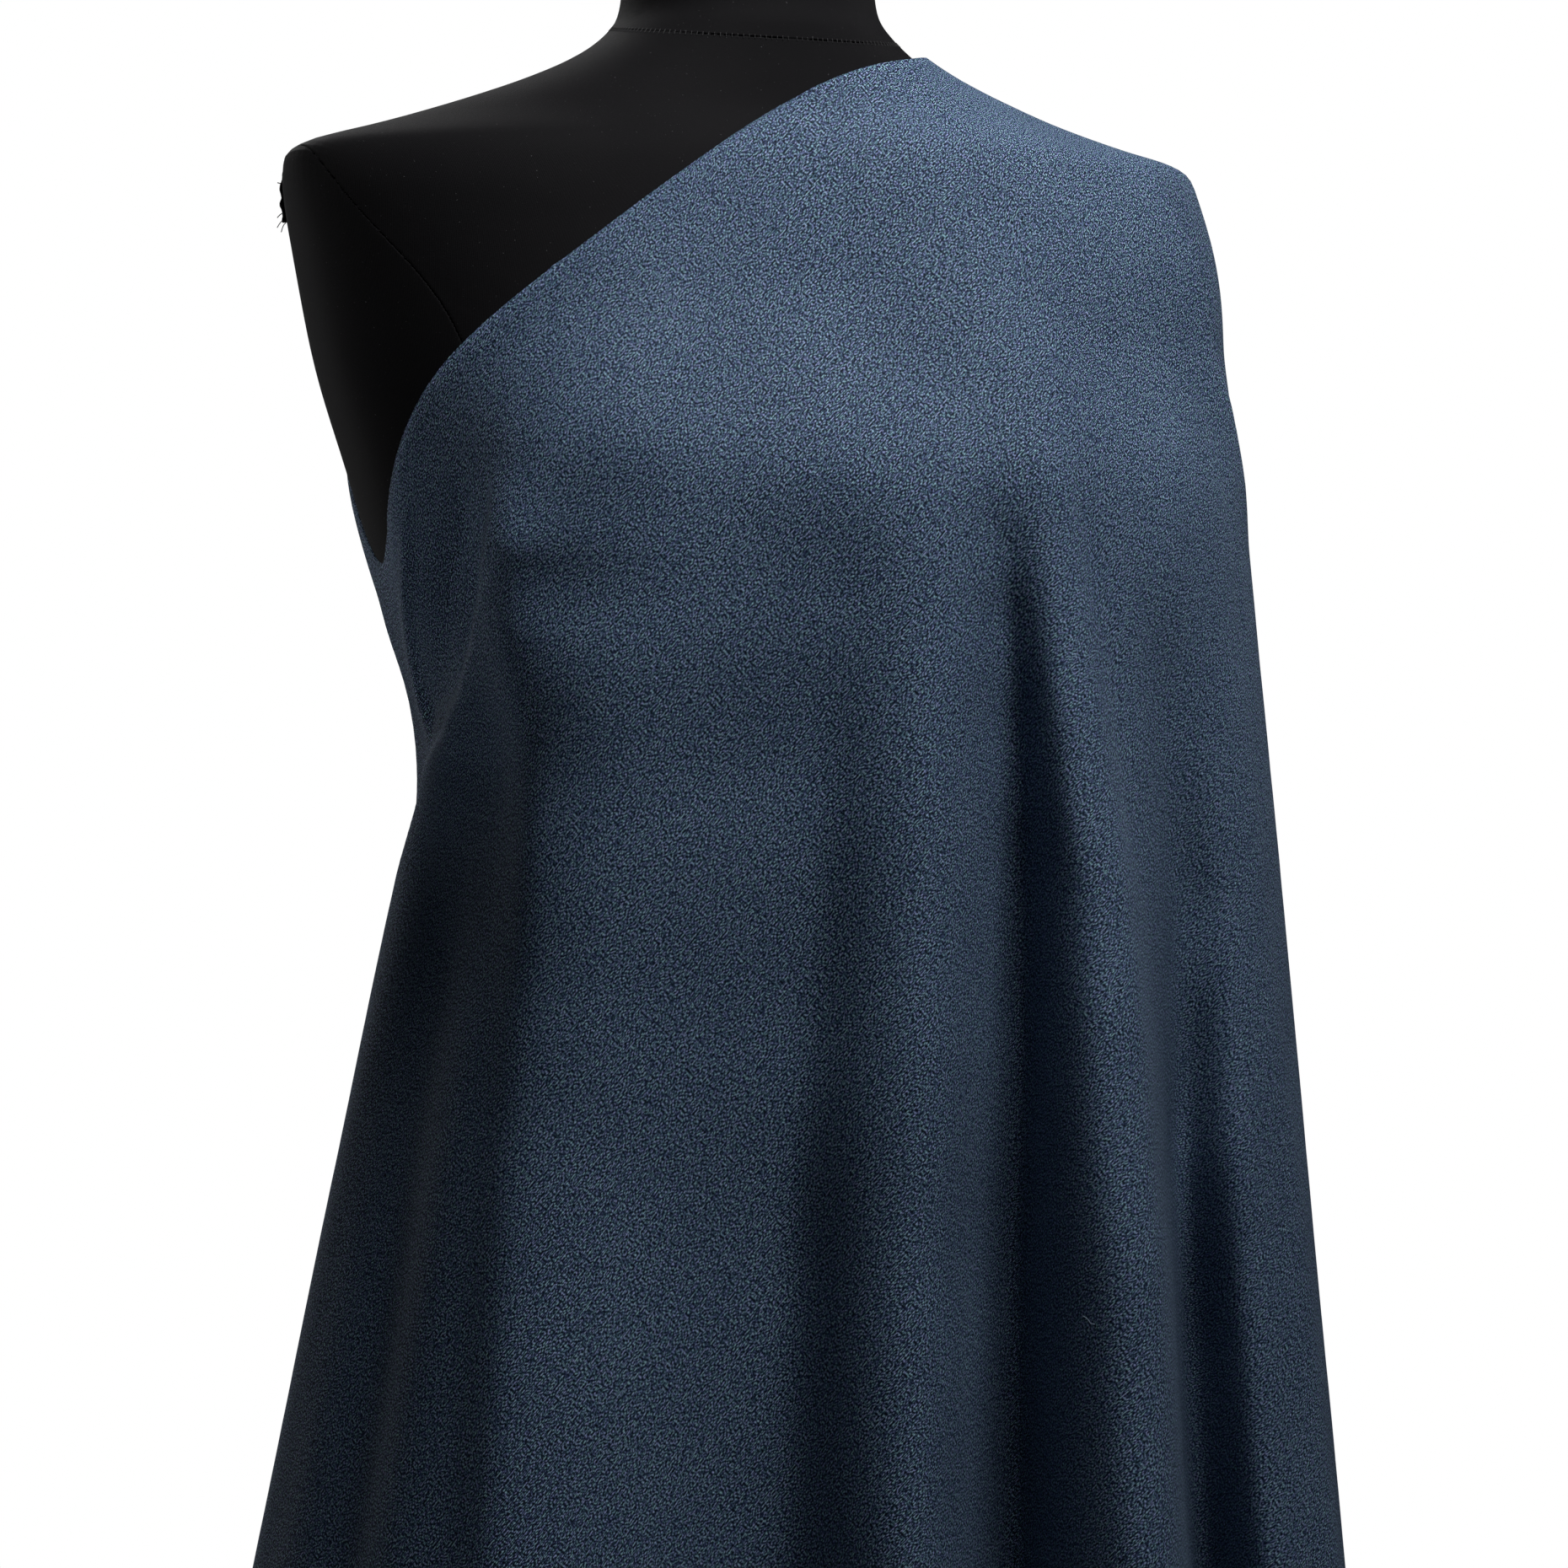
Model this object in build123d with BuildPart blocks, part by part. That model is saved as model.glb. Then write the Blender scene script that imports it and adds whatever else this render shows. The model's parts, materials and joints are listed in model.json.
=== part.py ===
from build123d import *
import math
import os

# Draped dress form: a headless female form in jersey covers, on a height-adjustable pole
# stand, with a length of suiting draped over its left shoulder. Millimetres. +Z is up, the
# form faces -Y, its left is +X. The origin is on the floor, on the pole's axis.

os.makedirs("parts", exist_ok=True)

# ---- driving dimensions ----
SHELL_WALL = 4.0            # moulded shell
COVER_GAP = 0.3             # shell to jersey
COVER_THICKNESS = 1.2
COVER_OUTER = COVER_GAP + COVER_THICKNESS
DRAPE_GAP = 0.6             # jersey to drape
DRAPE_THICKNESS = 2.4
BODY_BOTTOM = 700.0
NECK_TOP = 1470.0
HEM = 292.0                 # lower edge of the drape
SEAM_ANGLE = 94.0           # the seam between front and back covers, from the front
NECK_SEAM_HEIGHT = 1401.0   # where the neck seam's plane crosses the axis
NECK_SEAM_TILT = 9.4        # degrees, low at the front

POLE_RADIUS = 12.5          # the inner, sliding pole
POLE_WALL = 1.5
POLE_BOTTOM = 250.0
POLE_TOP = 1436.0
TUBE_RADIUS = 16.0          # the outer, fixed tube
TUBE_WALL = 2.0
TUBE_BOTTOM = 10.2
TUBE_TOP = 560.0
RUNNING_GAP = 0.05
PLATE_RADIUS = 190.0
PLATE_THICKNESS = 8.0
FELT_THICKNESS = 2.0
FELT_RADIUS = 184.0
KNOB_HEIGHT = 537.0         # the height knob's axis
SWIVEL_KNOB_HEIGHT = 664.0  # the swivel knob's axis
FLANGE_BOTTOM = 640.0       # lower end of the socket that sits on the pole's ring
BOARD_THICKNESS = 18.0
STUD_RADIUS = 3.9           # stud of the height knob
STUD_CLEARANCE = 0.6
RING_POINTS = 72            # points on a whole horizontal section
HALF_POINTS = 37            # points on half a section

# The body's outline, as (height, half width, depth in front, depth behind, squareness).
STATIONS = [
    (700, 168, 106, 118, 2.3),
    (760, 172, 109, 124, 2.3),
    (820, 168, 109, 122, 2.3),
    (880, 154, 105, 112, 2.25),
    (940, 136, 98, 98, 2.2),
    (1000, 124, 92, 88, 2.15),
    (1050, 129, 91, 87, 2.15),
    (1100, 145, 92, 92, 2.2),
    (1150, 165, 93, 98, 2.3),
    (1200, 180, 93, 103, 2.4),
    (1250, 195, 92, 105, 2.5),
    (1290, 203, 90, 103, 2.6),
    (1315, 208, 86, 99, 2.6),
    (1332, 210.5, 82, 94, 2.45),
    (1340, 209, 79, 90, 2.3),
    (1346, 192, 76, 86, 2.1),
    (1353, 168, 72, 82, 1.9),
    (1361, 143, 69, 78, 1.8),
    (1369, 120, 67, 74, 1.8),
    (1378, 97, 65, 71, 1.85),
    (1388, 77, 63, 67, 1.95),
    (1398, 64, 61, 62.5, 2.0),
    (1408, 57.5, 57.5, 58, 2.0),
    (1420, 55.5, 55.5, 55.5, 2.0),
    (1440, 54.5, 54.5, 54.5, 2.0),
    (1470, 54, 54, 54, 2.0),
]

# Rounded swellings on both sides: (degrees from the front, spread in radians, height,
# spread above, spread below, how far it stands out).
SWELLINGS = [
    (40, 0.36, 1196, 78, 58, 38),    # bust
    (146, 0.45, 1265, 70, 70, 7),    # shoulder blades
    (152, 0.40, 800, 70, 80, 9),     # seat
]


def station_slope(i, column):
    """Harmonic mean of the slopes either side of a station, so the outline never overshoots."""
    if i in (0, len(STATIONS) - 1):
        i = 1 if i == 0 else i
        below, above = STATIONS[i - 1], STATIONS[i]
        return (above[column] - below[column]) / (above[0] - below[0])
    before, here, after = STATIONS[i - 1 : i + 2]
    low = (here[column] - before[column]) / (here[0] - before[0])
    high = (after[column] - here[column]) / (after[0] - here[0])
    return 0 if low * high <= 0 else 2 * low * high / (low + high)


def outline(height):
    """Half width, front depth, back depth and squareness at a height."""
    height = min(max(height, STATIONS[0][0]), STATIONS[-1][0])
    i = max(k for k in range(len(STATIONS) - 1) if STATIONS[k][0] <= height)
    lower, upper = STATIONS[i], STATIONS[i + 1]
    span = upper[0] - lower[0]
    t = (height - lower[0]) / span
    values = []
    for column in range(1, 5):
        values.append(
            (2 * t**3 - 3 * t**2 + 1) * lower[column]
            + (t**3 - 2 * t**2 + t) * span * station_slope(i, column)
            + (3 * t**2 - 2 * t**3) * upper[column]
            + (t**3 - t**2) * span * station_slope(i + 1, column)
        )
    return values


def superellipse(angle, half_width, depth, squareness):
    """Radius of a rounded oval at an angle from the front."""
    across = (abs(math.sin(angle)) / half_width) ** squareness
    along = (abs(math.cos(angle)) / depth) ** squareness
    return (across + along) ** (-1 / squareness)


def body_radius(angle, height):
    """Distance from the axis to the bare form, at an angle from the front."""
    half_width, front, behind, squareness = outline(height)
    depth = front if math.cos(angle) > 0 else behind
    radius = superellipse(angle, half_width, depth, squareness)
    for degrees, spread, centre, above, below, proud in SWELLINGS:
        rise = (height - centre) / (above if height > centre else below)
        for side in (-1, 1):
            turn = math.remainder(angle - side * math.radians(degrees), math.tau)
            radius += proud * math.exp(-((turn / spread) ** 2) - rise**2)
    return radius


def body_layer(angle, height, grow):
    """The form grown outwards: sideways below the shoulders, and upwards over them."""
    share = min(max((height - 1300) / 45, 0), 1) * min(max((1412 - height) / 14, 0), 1)
    return body_radius(angle, height - grow * share) + grow


def skirt_radius(angle, height):
    """The drape where it hangs clear of the form, as a widening superellipse."""
    left = 221 + (1311 - height) * (0.097 if height < 1311 else 2.2)
    right = 141 + max(1071 - height, 0) * 0.21
    front = 130 + (1196 - height) * (0.085 if height < 1196 else 0.42)
    behind = 112 + (1250 - height) * (0.095 if height < 1250 else 0.3)
    half_width = max(left, 40) if math.sin(angle) > 0 else right
    depth = max(front if math.cos(angle) > 0 else behind, 30)
    return superellipse(angle, half_width, depth, 2.2)


def drape_radius(angle, height, grow):
    """The larger of form and skirt, with a soft change from one to the other."""
    body = body_layer(angle, height, COVER_OUTER + grow)
    skirt = skirt_radius(angle, height) + grow
    return (body**30 + skirt**30) ** (1 / 30)


def body_layer_at(grow):
    """The radius function of the form grown outwards by one amount."""
    return lambda angle, height: body_layer(angle, height, grow)


def drape_radius_at(grow):
    """The radius function of the drape grown outwards by one amount."""
    return lambda angle, height: drape_radius(angle, height, grow)


def ring(radius_at, height):
    """One closed horizontal section. All sections share their parameters, which keeps the
    lofted surfaces light."""
    points = []
    for k in range(RING_POINTS):
        angle = math.tau * k / RING_POINTS
        radius = radius_at(angle, height)
        points.append(Vector(radius * math.sin(angle), -radius * math.cos(angle)))
    shares = [k / RING_POINTS for k in range(RING_POINTS + 1)]
    return Edge.make_spline(points, periodic=True, parameters=shares)


def half_ring(height, start, end, inner_grow, outer_grow):
    """A wall's thin section between two angles from the front, as four edges."""
    inner, outer = [], []
    for k in range(HALF_POINTS):
        angle = math.radians(start + (end - start) * k / (HALF_POINTS - 1))
        direction = Vector(math.sin(angle), -math.cos(angle))
        inner.append(direction * body_layer(angle, height, inner_grow))
        outer.append(direction * body_layer(angle, height, outer_grow))
    shares = [k / (HALF_POINTS - 1) for k in range(HALF_POINTS)]
    return [
        Edge.make_spline(inner, parameters=shares),
        Edge.make_line(inner[-1], outer[-1]),
        Edge.make_spline(outer[::-1], parameters=shares),
        Edge.make_line(outer[0], inner[0]),
    ]


# Section heights: wide apart on the body, and close together over the shoulders and neck.
BODY_HEIGHTS = [BODY_BOTTOM + 20 * k for k in range(30)] + [1298, 1312, 1322]
BODY_HEIGHTS += [1330 + 5 * k for k in range(29)]
DRAPE_HEIGHTS = [HEM + 54 * k for k in range(16)] + [1140, 1175, 1205, 1232, 1256, 1277]
DRAPE_HEIGHTS += [1295, 1310, 1322] + [1330 + 5 * k for k in range(15)]

# ---- stand ----
with BuildPart() as base_felt:
    Cylinder(FELT_RADIUS, FELT_THICKNESS, align=(Align.CENTER, Align.CENTER, Align.MIN))

PLATE_TOP = FELT_THICKNESS + PLATE_THICKNESS
BOLT_RADIUS = 5.0
BOLT_HEAD_RADIUS = 10.0
BOLT_HEAD_DEPTH = 5.0
with BuildPart() as base_plate:
    with BuildSketch(Plane.XY.offset(FELT_THICKNESS)):
        Circle(PLATE_RADIUS)
    extrude(amount=PLATE_THICKNESS)
    fillet(base_plate.edges().group_by(Axis.Z)[-1], 3.0)
    with BuildSketch(Plane.XY.offset(FELT_THICKNESS)):
        Circle(BOLT_RADIUS)
    extrude(amount=PLATE_THICKNESS, mode=Mode.SUBTRACT)
    with BuildSketch(Plane.XY.offset(FELT_THICKNESS)):
        Circle(BOLT_HEAD_RADIUS)
    extrude(amount=BOLT_HEAD_DEPTH, taper=45, mode=Mode.SUBTRACT)

# A countersunk bolt from below, up into the tube's plug.
BOLT_LENGTH = 36.0
with BuildPart() as base_bolt:
    with BuildSketch(Plane.XY.offset(FELT_THICKNESS)):
        Circle(BOLT_HEAD_RADIUS - 0.1)
    extrude(amount=BOLT_HEAD_DEPTH - 0.1, taper=45)
    with BuildSketch(Plane.XY.offset(FELT_THICKNESS)):
        Circle(BOLT_RADIUS - 0.1)
    extrude(amount=BOLT_LENGTH)

PLUG_HEIGHT = 34.0
with BuildPart() as tube_plug:
    with BuildSketch(Plane.XY.offset(TUBE_BOTTOM)):
        Circle(TUBE_RADIUS - TUBE_WALL - RUNNING_GAP)
        Circle(BOLT_RADIUS, mode=Mode.SUBTRACT)
    extrude(amount=PLUG_HEIGHT)

with BuildPart() as lower_tube:
    with BuildSketch(Plane.XY.offset(TUBE_BOTTOM)):
        Circle(TUBE_RADIUS)
        Circle(TUBE_RADIUS - TUBE_WALL, mode=Mode.SUBTRACT)
    extrude(amount=TUBE_TOP - TUBE_BOTTOM)
    with BuildSketch(Plane.XZ):
        with Locations((0, KNOB_HEIGHT)):
            Circle(STUD_RADIUS + STUD_CLEARANCE)
    extrude(amount=-2 * TUBE_RADIUS, mode=Mode.SUBTRACT)

# A flared ring that hides the joint of tube and plate.
COVER_RING_RADIUS = 40.0
COVER_RING_HEIGHT = 30.0
COVER_RING_LIP = 4.0
COVER_RING_FLARE = 26.0
with BuildPart() as base_collar:
    inner_edge = TUBE_RADIUS + RUNNING_GAP
    outer_edge = TUBE_RADIUS + 5
    flare_top = PLATE_TOP + COVER_RING_HEIGHT - 6
    with BuildSketch(Plane.XZ):
        with BuildLine():
            Polyline(
                (outer_edge, flare_top),
                (outer_edge, PLATE_TOP + COVER_RING_HEIGHT),
                (inner_edge, PLATE_TOP + COVER_RING_HEIGHT),
                (inner_edge, PLATE_TOP),
                (COVER_RING_RADIUS, PLATE_TOP),
                (COVER_RING_RADIUS, PLATE_TOP + COVER_RING_LIP),
            )
            RadiusArc(
                (COVER_RING_RADIUS, PLATE_TOP + COVER_RING_LIP),
                (outer_edge, flare_top),
                -COVER_RING_FLARE,
            )
        make_face()
    revolve(axis=Axis.Z)

# The bush that the inner pole slides in, with a lip on the tube's end.
BUSH_LENGTH = 70.0
BUSH_LIP = 4.0
with BuildPart() as collar_bush:
    with BuildSketch(Plane.XY.offset(TUBE_TOP - BUSH_LENGTH)):
        Circle(TUBE_RADIUS - TUBE_WALL - RUNNING_GAP)
    extrude(amount=BUSH_LENGTH)
    with BuildSketch(Plane.XY.offset(TUBE_TOP)):
        Circle(TUBE_RADIUS)
    extrude(amount=BUSH_LIP)
    with BuildSketch(Plane.XY.offset(TUBE_TOP - BUSH_LENGTH)):
        Circle(POLE_RADIUS + RUNNING_GAP)
    extrude(amount=BUSH_LENGTH + BUSH_LIP, mode=Mode.SUBTRACT)
    with BuildSketch(Plane.XZ):
        with Locations((0, KNOB_HEIGHT)):
            Circle(STUD_RADIUS + STUD_CLEARANCE)
    extrude(amount=-2 * TUBE_RADIUS, mode=Mode.SUBTRACT)

# The clamp collar on the tube's end; its boss points backwards and holds the knob's stud.
COLLAR_RADIUS = 23.0
COLLAR_LENGTH = 44.0
BOSS_RADIUS = 10.0
BOSS_LENGTH = 38.0
with BuildPart() as height_collar:
    with BuildSketch(Plane.XY.offset(KNOB_HEIGHT - COLLAR_LENGTH / 2)):
        Circle(COLLAR_RADIUS)
    extrude(amount=COLLAR_LENGTH)
    fillet(height_collar.edges(), 2.0)
    with BuildSketch(Plane.XZ):
        with Locations((0, KNOB_HEIGHT)):
            Circle(BOSS_RADIUS)
    extrude(amount=-BOSS_LENGTH)
    with BuildSketch(Plane.XY.offset(KNOB_HEIGHT - COLLAR_LENGTH)):
        Circle(TUBE_RADIUS + RUNNING_GAP)
    extrude(amount=2 * COLLAR_LENGTH, mode=Mode.SUBTRACT)
    with BuildSketch(Plane.XZ):
        with Locations((0, KNOB_HEIGHT)):
            Circle(STUD_RADIUS + RUNNING_GAP)
    extrude(amount=-BOSS_LENGTH, mode=Mode.SUBTRACT)


def knob_profile(radius, lobes, dip):
    """A lobed knob's outline, as points on a circle whose radius rises and falls."""
    points = []
    for k in range(lobes * 6):
        angle = math.tau * k / (lobes * 6)
        reach = radius - dip * (1 - math.cos(lobes * angle)) / 2
        points.append((reach * math.cos(angle), reach * math.sin(angle)))
    return points


KNOB_RADIUS = 24.0
KNOB_LOBES = 6
KNOB_DIP = 5.0
KNOB_THICKNESS = 16.0
KNOB_GAP = 1.0              # between a boss and its knob
STUD_TIP = POLE_RADIUS + 0.3
with BuildPart() as height_knob:
    with BuildSketch(Plane((0, BOSS_LENGTH + KNOB_GAP, KNOB_HEIGHT), z_dir=(0, 1, 0))):
        with BuildLine():
            Spline(*knob_profile(KNOB_RADIUS, KNOB_LOBES, KNOB_DIP), periodic=True)
        make_face()
    extrude(amount=KNOB_THICKNESS)
    fillet(height_knob.edges(), 2.5)
    with BuildSketch(Plane.XZ.offset(-STUD_TIP)):
        with Locations((0, KNOB_HEIGHT)):
            Circle(STUD_RADIUS)
    extrude(amount=-(BOSS_LENGTH + 4 - STUD_TIP))

# ---- sliding pole ----
with BuildPart() as inner_pole:
    with BuildSketch(Plane.XY.offset(POLE_BOTTOM)):
        Circle(POLE_RADIUS)
        Circle(POLE_RADIUS - POLE_WALL, mode=Mode.SUBTRACT)
    extrude(amount=POLE_TOP - POLE_BOTTOM)

with BuildPart() as pole_cap:
    with BuildSketch(Plane.XY.offset(POLE_TOP)):
        Circle(POLE_RADIUS)
    extrude(amount=3)
    fillet(pole_cap.edges().group_by(Axis.Z)[-1], 1.5)
    with BuildSketch(Plane.XY.offset(POLE_TOP - 14)):
        Circle(POLE_RADIUS - POLE_WALL)
    extrude(amount=14)

# The ring that carries the form's socket, with a grub screw that holds it to the pole.
RING_HEIGHT = 14.0
RING_OUTER_RADIUS = POLE_RADIUS + 9
RING_BOTTOM = FLANGE_BOTTOM - 0.3 - RING_HEIGHT
GRUB_RADIUS = 2.5
GRUB_LENGTH = 7.0
with BuildPart() as pole_ring:
    with BuildSketch(Plane.XY.offset(RING_BOTTOM)):
        Circle(RING_OUTER_RADIUS)
        Circle(POLE_RADIUS, mode=Mode.SUBTRACT)
    extrude(amount=RING_HEIGHT)
    with BuildSketch(Plane.YZ.offset(POLE_RADIUS - 4)):
        with Locations((0, RING_BOTTOM + RING_HEIGHT / 2)):
            Circle(GRUB_RADIUS)
    extrude(amount=16, mode=Mode.SUBTRACT)

with BuildPart() as ring_screw:
    with BuildSketch(Plane.YZ.offset(POLE_RADIUS + 0.1)):
        with Locations((0, RING_BOTTOM + RING_HEIGHT / 2)):
            Circle(GRUB_RADIUS - RUNNING_GAP)
            RegularPolygon(1.3, 6, mode=Mode.SUBTRACT)
    extrude(amount=GRUB_LENGTH)

# ---- form: socket, board and moulded shell ----
FLANGE_RADIUS = 44.0
FLANGE_THICKNESS = 4.0
SLEEVE_RADIUS = 18.0
SOCKET_BOSS_RADIUS = 8.0
SOCKET_BOSS_LENGTH = 26.0
SWIVEL_STUD_RADIUS = 3.0
FLANGE_SCREW_CIRCLE = 33.0
SCREW_RADIUS = 2.5
SCREW_HEAD_RADIUS = 4.6
SCREW_HEAD_DEPTH = 2.6
SCREW_LENGTH = 18.0
with BuildPart() as pole_socket:
    with BuildSketch(Plane.XY.offset(BODY_BOTTOM - FLANGE_THICKNESS)):
        Circle(FLANGE_RADIUS)
        with PolarLocations(FLANGE_SCREW_CIRCLE, 4, 45):
            Circle(SCREW_RADIUS + 0.1, mode=Mode.SUBTRACT)
    extrude(amount=FLANGE_THICKNESS)
    with BuildSketch(Plane.XY.offset(FLANGE_BOTTOM)):
        Circle(SLEEVE_RADIUS)
    extrude(amount=BODY_BOTTOM - FLANGE_BOTTOM - 1)
    with BuildSketch(Plane.XZ):
        with Locations((0, SWIVEL_KNOB_HEIGHT)):
            Circle(SOCKET_BOSS_RADIUS)
    extrude(amount=-SOCKET_BOSS_LENGTH)
    with BuildSketch(Plane.XY.offset(FLANGE_BOTTOM)):
        Circle(POLE_RADIUS + RUNNING_GAP)
    extrude(amount=BODY_BOTTOM - FLANGE_BOTTOM, mode=Mode.SUBTRACT)
    with BuildSketch(Plane.XZ):
        with Locations((0, SWIVEL_KNOB_HEIGHT)):
            Circle(SWIVEL_STUD_RADIUS + RUNNING_GAP)
    extrude(amount=-SOCKET_BOSS_LENGTH - 4, mode=Mode.SUBTRACT)

SWIVEL_KNOB_RADIUS = 16.0
SWIVEL_KNOB_LOBES = 5
SWIVEL_KNOB_DIP = 3.5
SWIVEL_KNOB_THICKNESS = 12.0
with BuildPart() as swivel_knob:
    with BuildSketch(
        Plane((0, SOCKET_BOSS_LENGTH + KNOB_GAP, SWIVEL_KNOB_HEIGHT), z_dir=(0, 1, 0))
    ):
        with BuildLine():
            Spline(
                *knob_profile(SWIVEL_KNOB_RADIUS, SWIVEL_KNOB_LOBES, SWIVEL_KNOB_DIP),
                periodic=True,
            )
        make_face()
    extrude(amount=SWIVEL_KNOB_THICKNESS)
    fillet(swivel_knob.edges(), 2.0)
    with BuildSketch(Plane.XZ.offset(-STUD_TIP)):
        with Locations((0, SWIVEL_KNOB_HEIGHT)):
            Circle(SWIVEL_STUD_RADIUS)
    extrude(amount=-(SOCKET_BOSS_LENGTH + 4 - STUD_TIP))

with BuildPart() as flange_screws:
    with BuildSketch(Plane.XY.offset(BODY_BOTTOM - FLANGE_THICKNESS)):
        with PolarLocations(FLANGE_SCREW_CIRCLE, 4, 45):
            Circle(SCREW_RADIUS)
    extrude(amount=SCREW_LENGTH)
    with BuildSketch(Plane.XY.offset(BODY_BOTTOM - FLANGE_THICKNESS - SCREW_HEAD_DEPTH)):
        with PolarLocations(FLANGE_SCREW_CIRCLE, 4, 45):
            Circle(SCREW_HEAD_RADIUS)
            RegularPolygon(1.8, 6, mode=Mode.SUBTRACT)
    extrude(amount=SCREW_HEAD_DEPTH)

with BuildPart() as bottom_board:
    with BuildSketch(Plane.XY.offset(BODY_BOTTOM)):
        with BuildLine():
            add(ring(body_layer_at(-SHELL_WALL - 0.6), BODY_BOTTOM))
        make_face()
        Circle(POLE_RADIUS + 2, mode=Mode.SUBTRACT)
        with PolarLocations(FLANGE_SCREW_CIRCLE, 4, 45):
            Circle(SCREW_RADIUS, mode=Mode.SUBTRACT)
    extrude(amount=BOARD_THICKNESS)

# The moulded body: two halves glued together along the sides.
with BuildPart() as shell_front:
    for height in BODY_HEIGHTS:
        with BuildSketch(Plane.XY.offset(height)):
            with BuildLine():
                add(half_ring(height, -90, 90, -SHELL_WALL, 0))
            make_face()
    loft()

with BuildPart() as shell_back:
    for height in BODY_HEIGHTS:
        with BuildSketch(Plane.XY.offset(height)):
            with BuildLine():
                add(half_ring(height, 90, 270, -SHELL_WALL, 0))
            make_face()
    loft()

NECK_BLOCK_BOTTOM = 1405.0
NECK_INNER_RADIUS = 49.5
CAP_STUD_RADIUS = 3.9
CAP_HOLE_RADIUS = 4.0
CAP_STUD_DEPTH = 16.0       # of the cap's stud in the neck block
with BuildPart() as neck_block:
    with BuildSketch(Plane.XY.offset(NECK_BLOCK_BOTTOM)):
        Circle(NECK_INNER_RADIUS)
    extrude(amount=NECK_TOP - NECK_BLOCK_BOTTOM)
    with BuildSketch(Plane.XY.offset(NECK_BLOCK_BOTTOM)):
        Circle(POLE_RADIUS + RUNNING_GAP)
    extrude(amount=POLE_TOP + 5 - NECK_BLOCK_BOTTOM, mode=Mode.SUBTRACT)
    with BuildSketch(Plane.XY.offset(NECK_TOP - CAP_STUD_DEPTH - 2)):
        Circle(CAP_HOLE_RADIUS)
    extrude(amount=CAP_STUD_DEPTH + 2, mode=Mode.SUBTRACT)

# ---- neck cap, turned ----
CAP_RADIUS = 59.0
CAP_THICKNESS = 14.0
CAP_GAP = 0.3
with BuildPart() as neck_cap:
    with BuildSketch(Plane.XY.offset(NECK_TOP + CAP_GAP)):
        Circle(CAP_RADIUS)
    extrude(amount=CAP_THICKNESS)
    fillet(neck_cap.edges().group_by(Axis.Z)[-1], 8.0)
    fillet(neck_cap.edges().group_by(Axis.Z)[0], 3.0)
    with BuildSketch(Plane.XY.offset(NECK_TOP)):
        Circle(CAP_HOLE_RADIUS)
    extrude(amount=CAP_THICKNESS + 1, mode=Mode.SUBTRACT)

# A turned finial: a foot, a waist and a ball.
FINIAL_BOTTOM = NECK_TOP + CAP_GAP + CAP_THICKNESS
FOOT_RADIUS = 15.0
FOOT_HEIGHT = 3.0
WAIST_RADIUS = 8.0
BALL_RADIUS = 15.0
BALL_HEIGHT = 24.0          # the ball's centre above the finial's bottom
FINIAL_HOLE_DEPTH = 12.0
with BuildPart() as cap_finial:
    with BuildSketch(Plane.XZ):
        with BuildLine():
            Polyline(
                (0, FINIAL_BOTTOM),
                (FOOT_RADIUS, FINIAL_BOTTOM),
                (FOOT_RADIUS, FINIAL_BOTTOM + FOOT_HEIGHT),
                (WAIST_RADIUS, FINIAL_BOTTOM + 2 * FOOT_HEIGHT),
                (WAIST_RADIUS, FINIAL_BOTTOM + BALL_HEIGHT),
                (0, FINIAL_BOTTOM + BALL_HEIGHT),
                close=True,
            )
        make_face()
    revolve(axis=Axis.Z)
    with Locations((0, 0, FINIAL_BOTTOM + BALL_HEIGHT)):
        Sphere(BALL_RADIUS)
    with BuildSketch(Plane.XY.offset(FINIAL_BOTTOM)):
        Circle(CAP_HOLE_RADIUS)
    extrude(amount=FINIAL_HOLE_DEPTH, mode=Mode.SUBTRACT)

with BuildPart() as cap_stud:
    with BuildSketch(Plane.XY.offset(NECK_TOP - CAP_STUD_DEPTH)):
        Circle(CAP_STUD_RADIUS)
    extrude(amount=CAP_STUD_DEPTH + CAP_THICKNESS + FINIAL_HOLE_DEPTH - 1)

# ---- jersey covers: one blank wrapped round the shell, cut along its seams ----
with BuildPart() as cover_blank:
    for height in BODY_HEIGHTS:
        with BuildSketch(Plane.XY.offset(height)):
            with BuildLine():
                add(ring(body_layer_at(COVER_OUTER), height))
            make_face()
    loft()
    for height in BODY_HEIGHTS:
        with BuildSketch(Plane.XY.offset(height)):
            with BuildLine():
                add(ring(body_layer_at(COVER_GAP), height))
            make_face()
    loft(mode=Mode.SUBTRACT)

# The armhole seam from the shoulder's tip down to the side, seen from the front.
ARMHOLE = [
    (211, 1352), (208, 1339), (196, 1315), (183.5, 1297.5), (171, 1281.5),
    (161, 1266), (154, 1250), (148, 1225), (146, 1190), (146, 1060),
]
CUT_REACH = 300.0           # farther than any part of the form
neck_seam = Plane((0, 0, NECK_SEAM_HEIGHT)).rotated((NECK_SEAM_TILT, 0, 0))


def armhole_outline(side):
    """The face outside the armhole seam on one side, in the front view."""
    with BuildLine() as edge:
        seam = [(side * x, z) for x, z in ARMHOLE]
        Spline(*seam)
        (_, top), (_, bottom) = seam[0], seam[-1]
        Polyline(seam[-1], (side * CUT_REACH, bottom), (side * CUT_REACH, top), seam[0])
    return make_face(edge.edges(), mode=Mode.PRIVATE)


with BuildPart() as cover_neck:
    add(cover_blank.part)
    split(bisect_by=neck_seam, keep=Keep.TOP)

with BuildPart() as cover_body:
    add(cover_blank.part)
    split(bisect_by=neck_seam, keep=Keep.BOTTOM)

side_covers = {}
for side, name in ((-1, "cover_side_right"), (1, "cover_side_left")):
    with BuildPart() as cover_side:
        add(cover_body.part)
        with BuildSketch(Plane.XZ):
            add(armhole_outline(side))
        extrude(amount=CUT_REACH, both=True, mode=Mode.INTERSECT)
    side_covers[name] = cover_side.part

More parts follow.
